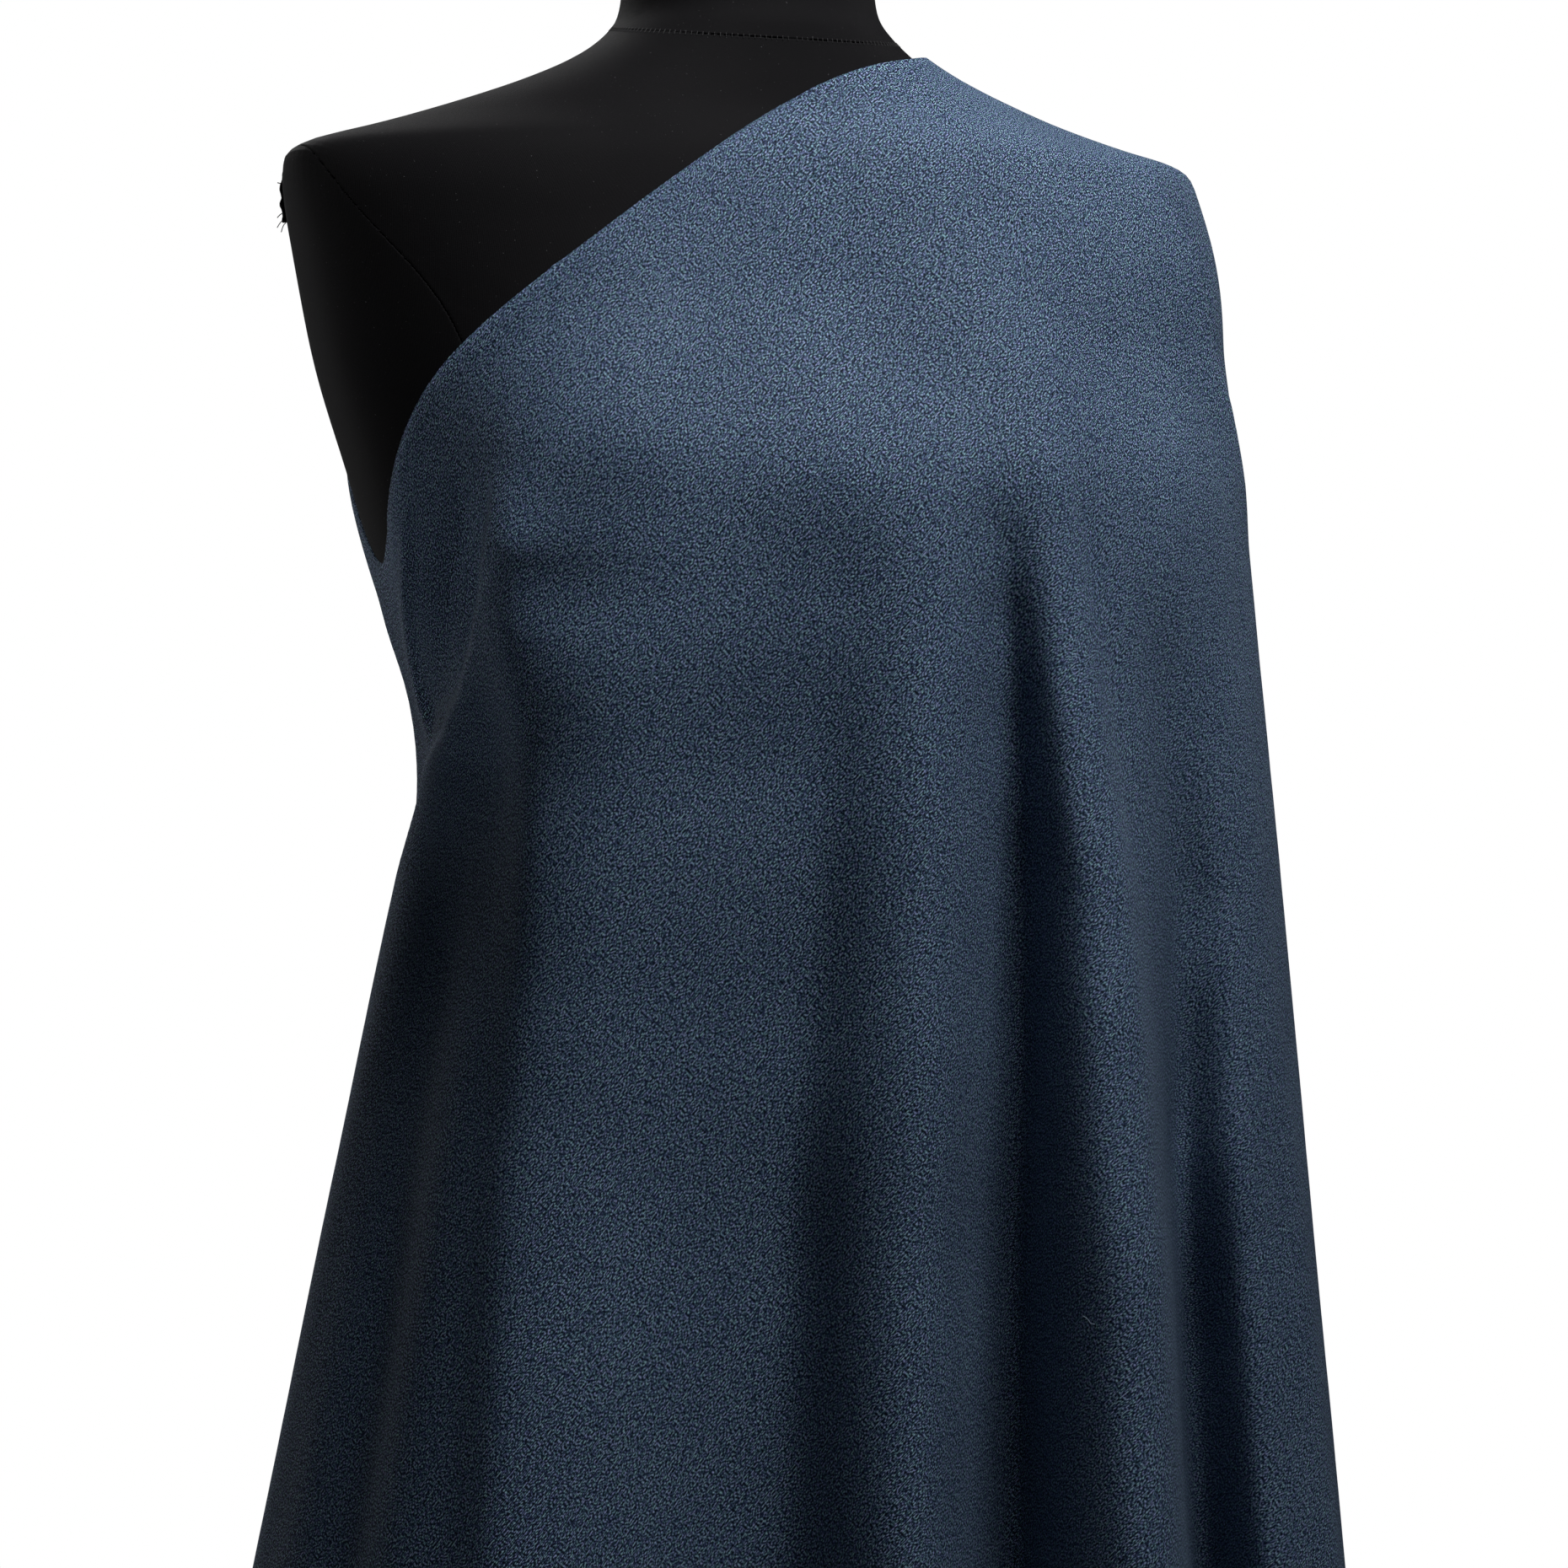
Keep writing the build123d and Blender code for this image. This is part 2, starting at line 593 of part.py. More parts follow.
with BuildPart() as cover_front:
    for height in BODY_HEIGHTS:
        with BuildSketch(Plane.XY.offset(height)):
            with BuildLine():
                add(half_ring(height, -SEAM_ANGLE, SEAM_ANGLE, COVER_GAP, COVER_OUTER))
            make_face()
    loft()
    split(bisect_by=neck_seam, keep=Keep.BOTTOM)
    for side in (-1, 1):
        with BuildSketch(Plane.XZ):
            add(armhole_outline(side))
        extrude(amount=CUT_REACH, both=True, mode=Mode.SUBTRACT)

with BuildPart() as cover_back:
    for height in BODY_HEIGHTS:
        with BuildSketch(Plane.XY.offset(height)):
            with BuildLine():
                add(half_ring(height, SEAM_ANGLE, 360 - SEAM_ANGLE, COVER_GAP, COVER_OUTER))
            make_face()
    loft()
    split(bisect_by=neck_seam, keep=Keep.BOTTOM)
    for side in (-1, 1):
        with BuildSketch(Plane.XZ):
            add(armhole_outline(side))
        extrude(amount=CUT_REACH, both=True, mode=Mode.SUBTRACT)

# ---- drape: a closed wall that hangs from the left shoulder and the right underarm ----
# Its folded top edge seen from the front, from the right side up to the neck.
TOP_EDGE = [
    (-167, 1146), (-174, 1180), (-175, 1200), (-167, 1233), (-145, 1261),
    (-115.6, 1286), (-55, 1331), (0, 1365), (36, 1380), (57, 1385.5), (76, 1391),
]
with BuildPart() as drape:
    for height in DRAPE_HEIGHTS:
        with BuildSketch(Plane.XY.offset(height)):
            with BuildLine():
                add(ring(drape_radius_at(DRAPE_GAP + DRAPE_THICKNESS), height))
            make_face()
    loft()
    for height in DRAPE_HEIGHTS:
        with BuildSketch(Plane.XY.offset(height)):
            with BuildLine():
                add(ring(drape_radius_at(DRAPE_GAP), height))
            make_face()
    loft(mode=Mode.SUBTRACT)
    with BuildSketch(Plane.XZ):
        with BuildLine():
            Spline(*TOP_EDGE)
            Polyline(
                TOP_EDGE[-1], (100, 1399), (500, 1399), (500, 200), (-500, 200), (-500, 1146),
                TOP_EDGE[0],
            )
        make_face()
    extrude(amount=400, both=True, mode=Mode.INTERSECT)

# Dressmaker's pins across the drape's overlap, high on the back.
PIN_LENGTH = 34.0
PIN_RADIUS = 0.5
PIN_HEAD_RADIUS = 2.0
PIN_STANDOFF = 2.6          # pin's axis outside the chord of the curved cloth
PIN_HEIGHTS = (1288, 1262, 1236)
PIN_ANGLE = math.radians(-150)
with BuildPart() as drape_pins:
    for height in PIN_HEIGHTS:
        ends = []
        for angle in (PIN_ANGLE - 0.1, PIN_ANGLE + 0.1):
            reach = drape_radius(angle, height, DRAPE_GAP + DRAPE_THICKNESS)
            ends.append(Vector(reach * math.sin(angle), -reach * math.cos(angle), height))
        across = (ends[1] - ends[0]).normalized()
        outward = across.cross(Vector(0, 0, 1))
        middle = (ends[0] + ends[1]) / 2 + outward * PIN_STANDOFF
        with BuildSketch(Plane(middle - across * PIN_LENGTH / 2, z_dir=across)):
            Circle(PIN_RADIUS)
        extrude(amount=PIN_LENGTH)
        with Locations(middle - across * PIN_LENGTH / 2):
            Sphere(PIN_HEAD_RADIUS)

PIECES = {
    "base_felt": base_felt.part,
    "base_plate": base_plate.part,
    "base_bolt": base_bolt.part,
    "base_collar": base_collar.part,
    "tube_plug": tube_plug.part,
    "lower_tube": lower_tube.part,
    "collar_bush": collar_bush.part,
    "height_collar": height_collar.part,
    "height_knob": height_knob.part,
    "inner_pole": inner_pole.part,
    "pole_cap": pole_cap.part,
    "pole_ring": pole_ring.part,
    "ring_screw": ring_screw.part,
    "pole_socket": pole_socket.part,
    "swivel_knob": swivel_knob.part,
    "flange_screws": flange_screws.part,
    "bottom_board": bottom_board.part,
    "shell_front": shell_front.part,
    "shell_back": shell_back.part,
    "neck_block": neck_block.part,
    "neck_cap": neck_cap.part,
    "cap_finial": cap_finial.part,
    "cap_stud": cap_stud.part,
    "cover_neck": cover_neck.part,
    "cover_front": cover_front.part,
    "cover_back": cover_back.part,
    "cover_side_right": side_covers["cover_side_right"],
    "cover_side_left": side_covers["cover_side_left"],
    "drape": drape.part,
    "drape_pins": drape_pins.part,
}
for name, piece in PIECES.items():
    piece.label = name
    export_step(piece, f"parts/{name}.step")
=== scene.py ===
import json
import math
import random

import bmesh
import bpy
import numpy as np
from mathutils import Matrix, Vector, noise
from mathutils.bvhtree import BVHTree


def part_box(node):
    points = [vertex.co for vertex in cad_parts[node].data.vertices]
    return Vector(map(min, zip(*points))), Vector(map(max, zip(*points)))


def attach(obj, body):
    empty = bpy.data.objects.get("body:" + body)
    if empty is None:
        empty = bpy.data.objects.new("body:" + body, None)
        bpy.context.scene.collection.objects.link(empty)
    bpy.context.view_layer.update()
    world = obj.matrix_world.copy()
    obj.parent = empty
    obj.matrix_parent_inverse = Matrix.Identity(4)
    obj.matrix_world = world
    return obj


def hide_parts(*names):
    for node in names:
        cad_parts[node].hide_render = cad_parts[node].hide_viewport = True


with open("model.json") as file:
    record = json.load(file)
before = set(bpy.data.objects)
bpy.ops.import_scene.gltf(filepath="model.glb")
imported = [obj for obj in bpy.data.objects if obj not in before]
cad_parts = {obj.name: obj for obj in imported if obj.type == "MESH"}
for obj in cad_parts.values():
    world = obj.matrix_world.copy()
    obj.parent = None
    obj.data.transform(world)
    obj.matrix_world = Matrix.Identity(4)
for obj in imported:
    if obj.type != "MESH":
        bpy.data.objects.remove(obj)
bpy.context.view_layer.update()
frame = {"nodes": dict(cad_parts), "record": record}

# Draped dress form. Metres and degrees. Angles round the form run from its front, positive
# towards its left side (+X). Heights are above the floor.

SEED = 7
random.seed(SEED)
SCENE = bpy.context.scene
NODES = frame["nodes"]
RECORD = frame["record"]

NECK_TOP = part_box("neck_block")[1].z
BODY_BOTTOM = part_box("bottom_board")[0].z
DRAPE_LOW, DRAPE_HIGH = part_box("drape")
HEM = DRAPE_LOW.z


# ---------------------------------------------------------------- camera, lights and floor

CAMERA_AZIMUTH = -20.0
CAMERA_DISTANCE = 2.1
FRAME_WIDTH = 0.707
FRAME_CENTRE_HEIGHT = 1.064
FRAME_CENTRE_SIDE = 0.0163
SENSOR = 36.0

FLOOR_RADIUS = 3.6
FLOOR_SIDES = 96
FILL = 0.003                # strength of the even light from all round
LIGHTS = (
    dict(name="key", azimuth=23, elevation=54, distance=1.20, size=0.46, power=16.3,
         target=(0, 0, 1.31)),
    dict(name="side_right", azimuth=110, elevation=15, distance=2.2, size=0.9, power=2.5,
         target=(0, 0, 1.20)),
    dict(name="rim_left", azimuth=-155, elevation=0, distance=2.2, size=0.8, power=2.5,
         target=(0, 0, 0.95)),
    dict(name="underarm", azimuth=-110, elevation=10, distance=1.6, size=0.30, power=0.06,
         target=(-0.19, 0, 1.30), spread=12),
    dict(name="back", azimuth=188, elevation=38, distance=2.6, size=1.2, power=16,
         target=(0, 0, 0.95)),
)


def make_camera():
    turn = math.radians(CAMERA_AZIMUTH)
    back = Vector((math.sin(turn), -math.cos(turn), 0))
    right = Vector((math.cos(turn), math.sin(turn), 0))
    data = bpy.data.cameras.new("camera")
    data.sensor_width = SENSOR
    data.lens = SENSOR * CAMERA_DISTANCE / FRAME_WIDTH
    camera = bpy.data.objects.new("camera", data)
    SCENE.collection.objects.link(camera)
    camera.location = (
        back * CAMERA_DISTANCE + right * FRAME_CENTRE_SIDE + Vector((0, 0, FRAME_CENTRE_HEIGHT))
    )
    camera.rotation_mode = "QUATERNION"
    camera.rotation_quaternion = (-back).to_track_quat("-Z", "Y")
    SCENE.camera = camera


def area_light(name, azimuth, elevation, distance, size, power, target, spread=180.0):
    """A soft square light that looks at its target from an azimuth and an elevation."""
    a, e = math.radians(azimuth), math.radians(elevation)
    back = Vector((math.sin(a) * math.cos(e), -math.cos(a) * math.cos(e), math.sin(e)))
    data = bpy.data.lights.new(name, "AREA")
    data.size = size
    data.energy = power
    data.spread = math.radians(spread)
    light = bpy.data.objects.new(name, data)
    light.visible_camera = False
    SCENE.collection.objects.link(light)
    light.location = Vector(target) + back * distance
    light.rotation_mode = "QUATERNION"
    light.rotation_quaternion = (-back).to_track_quat("-Z", "Y")


def make_world():
    """White for the eye, and a dim even fill for everything else."""
    world = bpy.data.worlds.new("studio")
    world.use_nodes = True
    tree = world.node_tree
    tree.nodes.clear()
    out = tree.nodes.new("ShaderNodeOutputWorld")
    mix = tree.nodes.new("ShaderNodeMixShader")
    path = tree.nodes.new("ShaderNodeLightPath")
    fill = tree.nodes.new("ShaderNodeBackground")
    fill.inputs["Color"].default_value = (0.9, 0.95, 1.0, 1)
    fill.inputs["Strength"].default_value = FILL
    white = tree.nodes.new("ShaderNodeBackground")
    white.inputs["Color"].default_value = (1, 1, 1, 1)
    white.inputs["Strength"].default_value = 1.0
    tree.links.new(path.outputs["Is Camera Ray"], mix.inputs["Fac"])
    tree.links.new(fill.outputs[0], mix.inputs[1])
    tree.links.new(white.outputs[0], mix.inputs[2])
    tree.links.new(mix.outputs[0], out.inputs["Surface"])
    SCENE.world = world


def make_floor():
    mesh = bpy.data.meshes.new("floor")
    turns = [math.tau * k / FLOOR_SIDES for k in range(FLOOR_SIDES)]
    rim = [(FLOOR_RADIUS * math.cos(t), FLOOR_RADIUS * math.sin(t), 0) for t in turns]
    mesh.from_pydata(rim, [], [tuple(range(FLOOR_SIDES))])
    floor = bpy.data.objects.new("floor", mesh)
    SCENE.collection.objects.link(floor)
    floor.data.materials.append(pale_floor())


# ---------------------------------------------------------------- material helpers


class Nodes:
    """A small helper that adds nodes to one material and links them."""

    def __init__(self, name):
        self.material = bpy.data.materials.new(name)
        self.material.use_nodes = True
        self.tree = self.material.node_tree
        self.shader = self.tree.nodes["Principled BSDF"]

    def add(self, kind, **values):
        node = self.tree.nodes.new("ShaderNode" + kind)
        for key, value in values.items():
            if hasattr(node, key):
                setattr(node, key, value)
            else:
                node.inputs[key.replace("_", " ")].default_value = value
        return node

    def link(self, source, target):
        self.tree.links.new(source, target)

    def set(self, **values):
        for key, value in values.items():
            self.shader.inputs[key.replace("_", " ")].default_value = value

    def coords(self, scale=(1, 1, 1), attribute=None):
        """Object coordinates, or a named attribute, scaled."""
        mapping = self.add("Mapping")
        mapping.inputs["Scale"].default_value = scale
        if attribute is None:
            source = self.add("TexCoord").outputs["Object"]
        else:
            source = self.add("Attribute", attribute_name=attribute).outputs["Vector"]
        self.link(source, mapping.inputs["Vector"])
        return mapping.outputs["Vector"]

    def noise(self, vector, scale, detail=2.0, rough=0.5, distortion=0.0):
        node = self.add("TexNoise", Scale=scale, Detail=detail, Roughness=rough)
        node.inputs["Distortion"].default_value = distortion
        self.link(vector, node.inputs["Vector"])
        return node.outputs["Fac"]

    def marks(self, attribute, length, width, detail=2.0, rough=0.5):
        """Noise whose marks have about this length and width on the flat cloth."""
        vector = self.coords((1 / length, 1 / width, 1), attribute)
        return self.noise(vector, 1.0, detail, rough)

    def ramp(self, value, stops):
        node = self.add("ValToRGB")
        elements = node.color_ramp.elements
        while len(elements) < len(stops):
            elements.new(0.5)
        for element, (position, colour) in zip(elements, stops):
            element.position = position
            element.color = (*colour, 1)
        self.link(value, node.inputs["Fac"])
        return node.outputs["Color"]

    def feed(self, node, *values):
        """Sets or links the first sockets of a node, and returns its output."""
        for socket, value in zip(node.inputs, values):
            if isinstance(value, (int, float)):
                socket.default_value = value
            else:
                self.link(value, socket)
        return node.outputs[0]

    def math(self, operation, a, b):
        return self.feed(self.add("Math", operation=operation), a, b)

    def mix(self, factor, a, b, blend):
        return self.feed(self.add("MixRGB", blend_type=blend), factor, a, b)

    def bump(self, height, strength, distance):
        node = self.add("Bump", Strength=strength, Distance=distance)
        self.link(height, node.inputs["Height"])
        return node.outputs["Normal"]

    def colour(self, socket):
        self.link(socket, self.shader.inputs["Base Color"])

    def roughness(self, socket):
        self.link(socket, self.shader.inputs["Roughness"])

    def rough_range(self, value, start, end, rough, more):
        """Roughness that grows by more while the value goes from start to end."""
        self.roughness(self.ramp(value, [(start, (rough,) * 3), (end, (rough + more,) * 3)]))

    def normal(self, socket):
        self.link(socket, self.shader.inputs["Normal"])


def pale_floor():
    m = Nodes("floor_paper")
    fac = m.noise(m.coords(), 3.0, 3)
    m.colour(m.ramp(fac, [(0.3, (0.68, 0.68, 0.68)), (0.7, (0.72, 0.72, 0.72))]))
    m.set(Roughness=0.8)
    return m.material


# ---------------------------------------------------------------- materials of the object

YARN = 0.00060              # spacing of the twill's lines
DASH = 0.0011               # length of one light or dark dash along a line
TWILL_ANGLE = 46.0          # of the twill's lines on the flat cloth
RIB = 0.0014007             # repeat of the knit's ribs
LOOP_LENGTH, LOOP_WIDTH = 0.0007, 0.0005


def suiting():
    """Heathered navy twill: short light and dark dashes along lines that rise to the right."""
    m = Nodes("suiting_twill")
    dash = m.marks("twill", DASH, YARN, 0.0)
    cross = m.marks("twill", 0.0008, 0.0004, 0.0)
    heather = m.marks("twill", 0.0028, 0.0014, 1.0)
    weft = m.marks("cloth", 0.06, 0.0010, 2.0, 0.6)
    patch = m.marks("cloth", 0.05, 0.07, 2.0)
    line_coords = m.coords((0.10 / YARN, 0.55 / YARN, 1), "twill")
    wave = m.add("TexWave", wave_type="BANDS", bands_direction="Y", Scale=0.5)
    wave.inputs["Distortion"].default_value = 2.6
    wave.inputs["Detail"].default_value = 0.0
    wave.inputs["Detail Scale"].default_value = 1.0
    m.link(line_coords, wave.inputs["Vector"])
    lines = wave.outputs["Fac"]
    yarn = m.math("ADD", m.math("MULTIPLY", dash, 0.66), m.math("MULTIPLY", lines, 0.16))
    yarn = m.math("ADD", yarn, m.math("MULTIPLY", cross, 0.24))
    base = m.ramp(
        yarn,
        [
            (0.41, (0.0015, 0.0030, 0.0080)),
            (0.50, (0.0120, 0.0250, 0.0530)),
            (0.57, (0.0500, 0.0900, 0.1550)),
            (0.64, (0.2400, 0.3400, 0.4700)),
            (0.74, (0.5600, 0.6900, 0.8000)),
        ],
    )
    tint = m.ramp(heather, [(0.38, (0.92, 0.78, 1.20)), (0.62, (0.82, 1.16, 1.02))])
    base = m.mix(0.8, base, tint, "MULTIPLY")
    streaks = m.ramp(weft, [(0.30, (0.55, 0.57, 0.60)), (0.42, (1, 1, 1)), (0.80, (1.1, 1.1, 1.1))])
    base = m.mix(0.5, base, streaks, "MULTIPLY")
    wear = m.ramp(patch, [(0.3, (0.92, 0.92, 0.94)), (0.7, (1.06, 1.06, 1.05))])
    base = m.mix(1.0, base, wear, "MULTIPLY")
    m.colour(base)
    m.roughness(m.math("ADD", m.math("MULTIPLY", yarn, -0.25), 0.86))
    m.normal(m.bump(yarn, 0.6, 0.0005))
    m.set(Specular_IOR_Level=0.2)
    return m.material


def jersey():
    """Fine black knit: ribs of stitches, a soft sheen and a little lint."""
    m = Nodes("black_jersey")
    ribs = m.add("TexWave", wave_type="BANDS", bands_direction="X", Scale=1.0)
    ribs.inputs["Distortion"].default_value = 0.6
    m.link(m.coords((1 / RIB, 1 / 0.002, 1), "cloth"), ribs.inputs["Vector"])
    loops = m.marks("cloth", LOOP_LENGTH, LOOP_WIDTH, 1.0)
    half_ribs = m.math("MULTIPLY", ribs.outputs["Fac"], 0.5)
    knit = m.math("ADD", half_ribs, m.math("MULTIPLY", loops, 0.5))
    lint = m.noise(m.coords(), 900.0, 2.0, 0.7)
    cloudy = m.noise(m.coords(), 14.0, 3.0)
    base = m.ramp(knit, [(0.25, (0.0048, 0.0046, 0.0054)), (0.75, (0.0108, 0.0104, 0.0116))])
    shade = m.ramp(cloudy, [(0.3, (0.85, 0.85, 0.87)), (0.7, (1.15, 1.15, 1.13))])
    base = m.mix(1.0, base, shade, "MULTIPLY")
    specks = m.ramp(lint, [(0.72, (0, 0, 0)), (0.78, (0.12, 0.12, 0.125))])
    base = m.mix(1.0, base, specks, "ADD")
    m.colour(base)
    m.roughness(m.ramp(knit, [(0.2, (0.82, 0.82, 0.82)), (0.8, (0.66, 0.66, 0.66))]))
    m.normal(m.bump(knit, 0.35, 0.0002))
    m.set(Sheen_Weight=0.015, Sheen_Roughness=0.5, Specular_IOR_Level=0.06)
    return m.material


def thread(name, colour):
    """Twisted thread."""
    m = Nodes(name)
    twist = m.add("TexWave", wave_type="BANDS", bands_direction="DIAGONAL", Scale=900.0)
    m.link(m.coords(), twist.inputs["Vector"])
    dark = tuple(c * 0.5 for c in colour)
    m.colour(m.ramp(twist.outputs["Fac"], [(0.2, dark), (0.8, colour)]))
    m.set(Roughness=0.7)
    m.normal(m.bump(twist.outputs["Fac"], 0.4, 0.0001))
    return m.material


def painted(name, colour, speckle=900.0, rough=0.42):
    """Textured paint over metal, a little worn and dusty."""
    m = Nodes(name)
    grain = m.noise(m.coords(), speckle, 3.0, 0.6)
    dust = m.noise(m.coords(), 22.0, 4.0, 0.6)
    light = tuple(min(c * 1.8 + 0.01, 1) for c in colour)
    m.colour(m.ramp(dust, [(0.35, colour), (0.75, light)]))
    m.rough_range(dust, 0.3, 0.7, rough, 0.18)
    m.normal(m.bump(grain, 0.25, 0.0004))
    return m.material


def metal(name, colour, rough):
    """Bare metal with fine scratches round it and a few smudges."""
    m = Nodes(name)
    scratches = m.noise(m.coords((6, 6, 300)), 8.0, 4.0, 0.7)
    smudge = m.noise(m.coords(), 18.0, 3.0)
    dark = tuple(c * 0.82 for c in colour)
    m.colour(m.ramp(smudge, [(0.3, dark), (0.7, colour)]))
    m.rough_range(scratches, 0.3, 0.75, rough, 0.16)
    m.normal(m.bump(scratches, 0.08, 0.0003))
    m.set(Metallic=1.0)
    return m.material


def moulded(name, colour, rough, scale=700.0):
    """A moulded surface with a fine grain."""
    m = Nodes(name)
    grain = m.noise(m.coords(), scale, 2.0, 0.6)
    tone = m.noise(m.coords(), 9.0, 3.0)
    light = tuple(min(c * 1.35 + 0.004, 1) for c in colour)
    m.colour(m.ramp(tone, [(0.3, colour), (0.7, light)]))
    m.rough_range(grain, 0.3, 0.7, rough, 0.2)
    m.normal(m.bump(grain, 0.2, 0.0003))
    return m.material


def wood(name, dark, light, rough=0.45):
    """Rings and fibres that run upwards."""
    m = Nodes(name)
    rings = m.add("TexWave", wave_type="RINGS", rings_direction="Z", Scale=60.0)
    rings.inputs["Distortion"].default_value = 5.0
    rings.inputs["Detail"].default_value = 3.0
    m.link(m.coords((1, 1, 0.08)), rings.inputs["Vector"])
    fibre = m.noise(m.coords((40, 40, 3)), 14.0, 4.0, 0.7)
    ring_share = m.math("MULTIPLY", rings.outputs["Fac"], 0.6)
    grain = m.math("ADD", ring_share, m.math("MULTIPLY", fibre, 0.4))
    m.colour(m.ramp(grain, [(0.25, dark), (0.8, light)]))
    m.rough_range(fibre, 0.3, 0.7, rough, 0.2)
    m.normal(m.bump(grain, 0.15, 0.0003))
    return m.material


def felt():
    m = Nodes("pressed_felt")
    fibres = m.noise(m.coords(), 1600.0, 4.0, 0.8, 1.5)
    m.colour(m.ramp(fibres, [(0.3, (0.010, 0.010, 0.011)), (0.7, (0.045, 0.045, 0.048))]))
    m.set(Roughness=0.95)
    m.normal(m.bump(fibres, 0.8, 0.0006))
    return m.material


def dress_nodes():
    """Better materials on the CAD nodes that stay."""
    by_slot = {
        "felt": felt(),
        "black_steel": painted("powder_coat", (0.012, 0.012, 0.013)),
        "chrome_trim": metal("chrome", (0.78, 0.78, 0.80), 0.07),
        "cast_collar": painted("collar_paint", (0.016, 0.016, 0.017), 1400.0, 0.35),
        "screw_steel": metal("zinc_steel", (0.56, 0.56, 0.54), 0.28),
        "nylon": moulded("nylon", (0.020, 0.020, 0.021), 0.45),
        "black_plastic": moulded("knob_plastic", (0.010, 0.010, 0.011), 0.34, 1200.0),
        "board_wood": wood("plywood", (0.26, 0.15, 0.07), (0.52, 0.36, 0.20)),
        "cap_wood": wood("stained_beech", (0.012, 0.007, 0.005), (0.045, 0.026, 0.016), rough=0.3),
        "shell": moulded("moulded_shell", (0.42, 0.37, 0.30), 0.7, 400.0),
    }
    slots = {entry["node"]: entry["material_slot"] for entry in RECORD["subparts"]}
    for name, node in NODES.items():
        material = by_slot.get(slots[name])
        if material is None:
            continue
        node.data.materials.clear()
        node.data.materials.append(material)
        smooth_faces(node.data)


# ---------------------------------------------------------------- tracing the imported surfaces


def surface_tree(names):
    """One search tree over several CAD nodes."""
    verts, faces = [], []
    for name in names:
        mesh = NODES[name].data
        base = len(verts)
        verts += [v.co.copy() for v in mesh.vertices]
        faces += [[base + i for i in p.vertices] for p in mesh.polygons]
    return BVHTree.FromPolygons(verts, faces)


def direction(angle):
    turn = math.radians(angle)
    return Vector((math.sin(turn), -math.cos(turn), 0))


def outer_radius(tree, angle, height):
    """Distance from the axis to the outermost surface, or None above it."""
    outward = direction(angle)
    start = outward + Vector((0, 0, height))
    hit = tree.ray_cast(start, -outward, 1.0)[0]
    return None if hit is None else math.hypot(hit.x, hit.y)


def trace_column(tree, angle, low, high, step):
    """The outline in one upright half plane, as (radius, height) from the bottom up."""
    points = []
    height = low + 1e-4
    while height < high:
        radius = outer_radius(tree, angle, height)
        if radius is None:
            break
        points.append((radius, height))
        height += step
    lo, hi = height - step, height
    for _ in range(8):
        middle = (lo + hi) / 2
        radius = outer_radius(tree, angle, middle) if middle < high else None
        if radius is None:
            hi = middle
        else:
            lo = middle
            points.append((radius, middle))
    return np.array(sorted(points, key=lambda p: p[1]))


def resample(line, count):
    """Points spread evenly along a polyline."""
    steps = np.hypot(*np.diff(line, axis=0).T)
    keep = np.concatenate(([True], steps > 1e-7))
    line = line[keep]
    run = np.concatenate(([0], np.cumsum(np.hypot(*np.diff(line, axis=0).T))))
    places = np.linspace(0, run[-1], count)
    return np.stack([np.interp(places, run, line[:, k]) for k in range(line.shape[1])], axis=1)


def smooth_along(values, axis, rounds, wrap=False):
    """A few rounds of neighbour averaging along one axis; the ends stay."""
    values = values.copy()
    for _ in range(rounds):
        if wrap:
            average = (np.roll(values, 1, axis) + np.roll(values, -1, axis)) / 2
            values = (values + average) / 2
            continue
        moved = np.moveaxis(values, axis, 0)
        inner = (moved[:-2] + moved[2:]) / 4 + moved[1:-1] / 2
        moved[1:-1] = inner
        values = np.moveaxis(moved, 0, axis)
    return values


def distance_along(points, axis):
    """The running distance over a grid of points, along one of its two axes."""
    steps = np.linalg.norm(np.diff(points, axis=axis), axis=2)
    start = np.zeros_like(np.take(steps, [0], axis))
    return np.concatenate([start, np.cumsum(steps, axis=axis)], axis=axis)


def smooth_faces(mesh):
    for polygon in mesh.polygons:
        polygon.use_smooth = True


def grid_mesh(name, points, closed=False):
    """A quad mesh from a (columns, rows, 3) array."""
    columns, rows = points.shape[:2]
    faces = []
    for i in range(columns if closed else columns - 1):
        for j in range(rows - 1):
            k = (i + 1) % columns
            faces.append((i * rows + j, k * rows + j, k * rows + j + 1, i * rows + j + 1))
    mesh = bpy.data.meshes.new(name)
    mesh.from_pydata(points.reshape(-1, 3).tolist(), [], faces)
    smooth_faces(mesh)
    return mesh


def place(name, mesh, body, material):
    """Links a finished mesh into the scene as a piece on a body."""
    piece = bpy.data.objects.new(name, mesh)
    SCENE.collection.objects.link(piece)
    mesh.materials.append(material)
    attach(piece, body)
    return piece


def thicken(piece, thickness, offset):
    solidify = piece.modifiers.new("thickness", "SOLIDIFY")
    solidify.thickness = thickness
    solidify.offset = offset


def cloth_attributes(mesh, across, along):
    """Where each point lies on the flat cloth, and the same turned to the twill's lines."""
    flat = mesh.attributes.new("cloth", "FLOAT_VECTOR", "POINT")
    turned = mesh.attributes.new("twill", "FLOAT_VECTOR", "POINT")
    across, along = across.ravel(), along.ravel()
    zero = np.zeros_like(across)
    flat.data.foreach_set("vector", np.stack([across, along, zero], 1).astype(np.float32).ravel())
    line = math.radians(TWILL_ANGLE)
    a = across * math.cos(line) + along * math.sin(line)
    b = -across * math.sin(line) + along * math.cos(line)
    turned.data.foreach_set("vector", np.stack([a, b, zero], 1).astype(np.float32).ravel())


def smoothstep(t):
    return t * t * (3 - 2 * t)


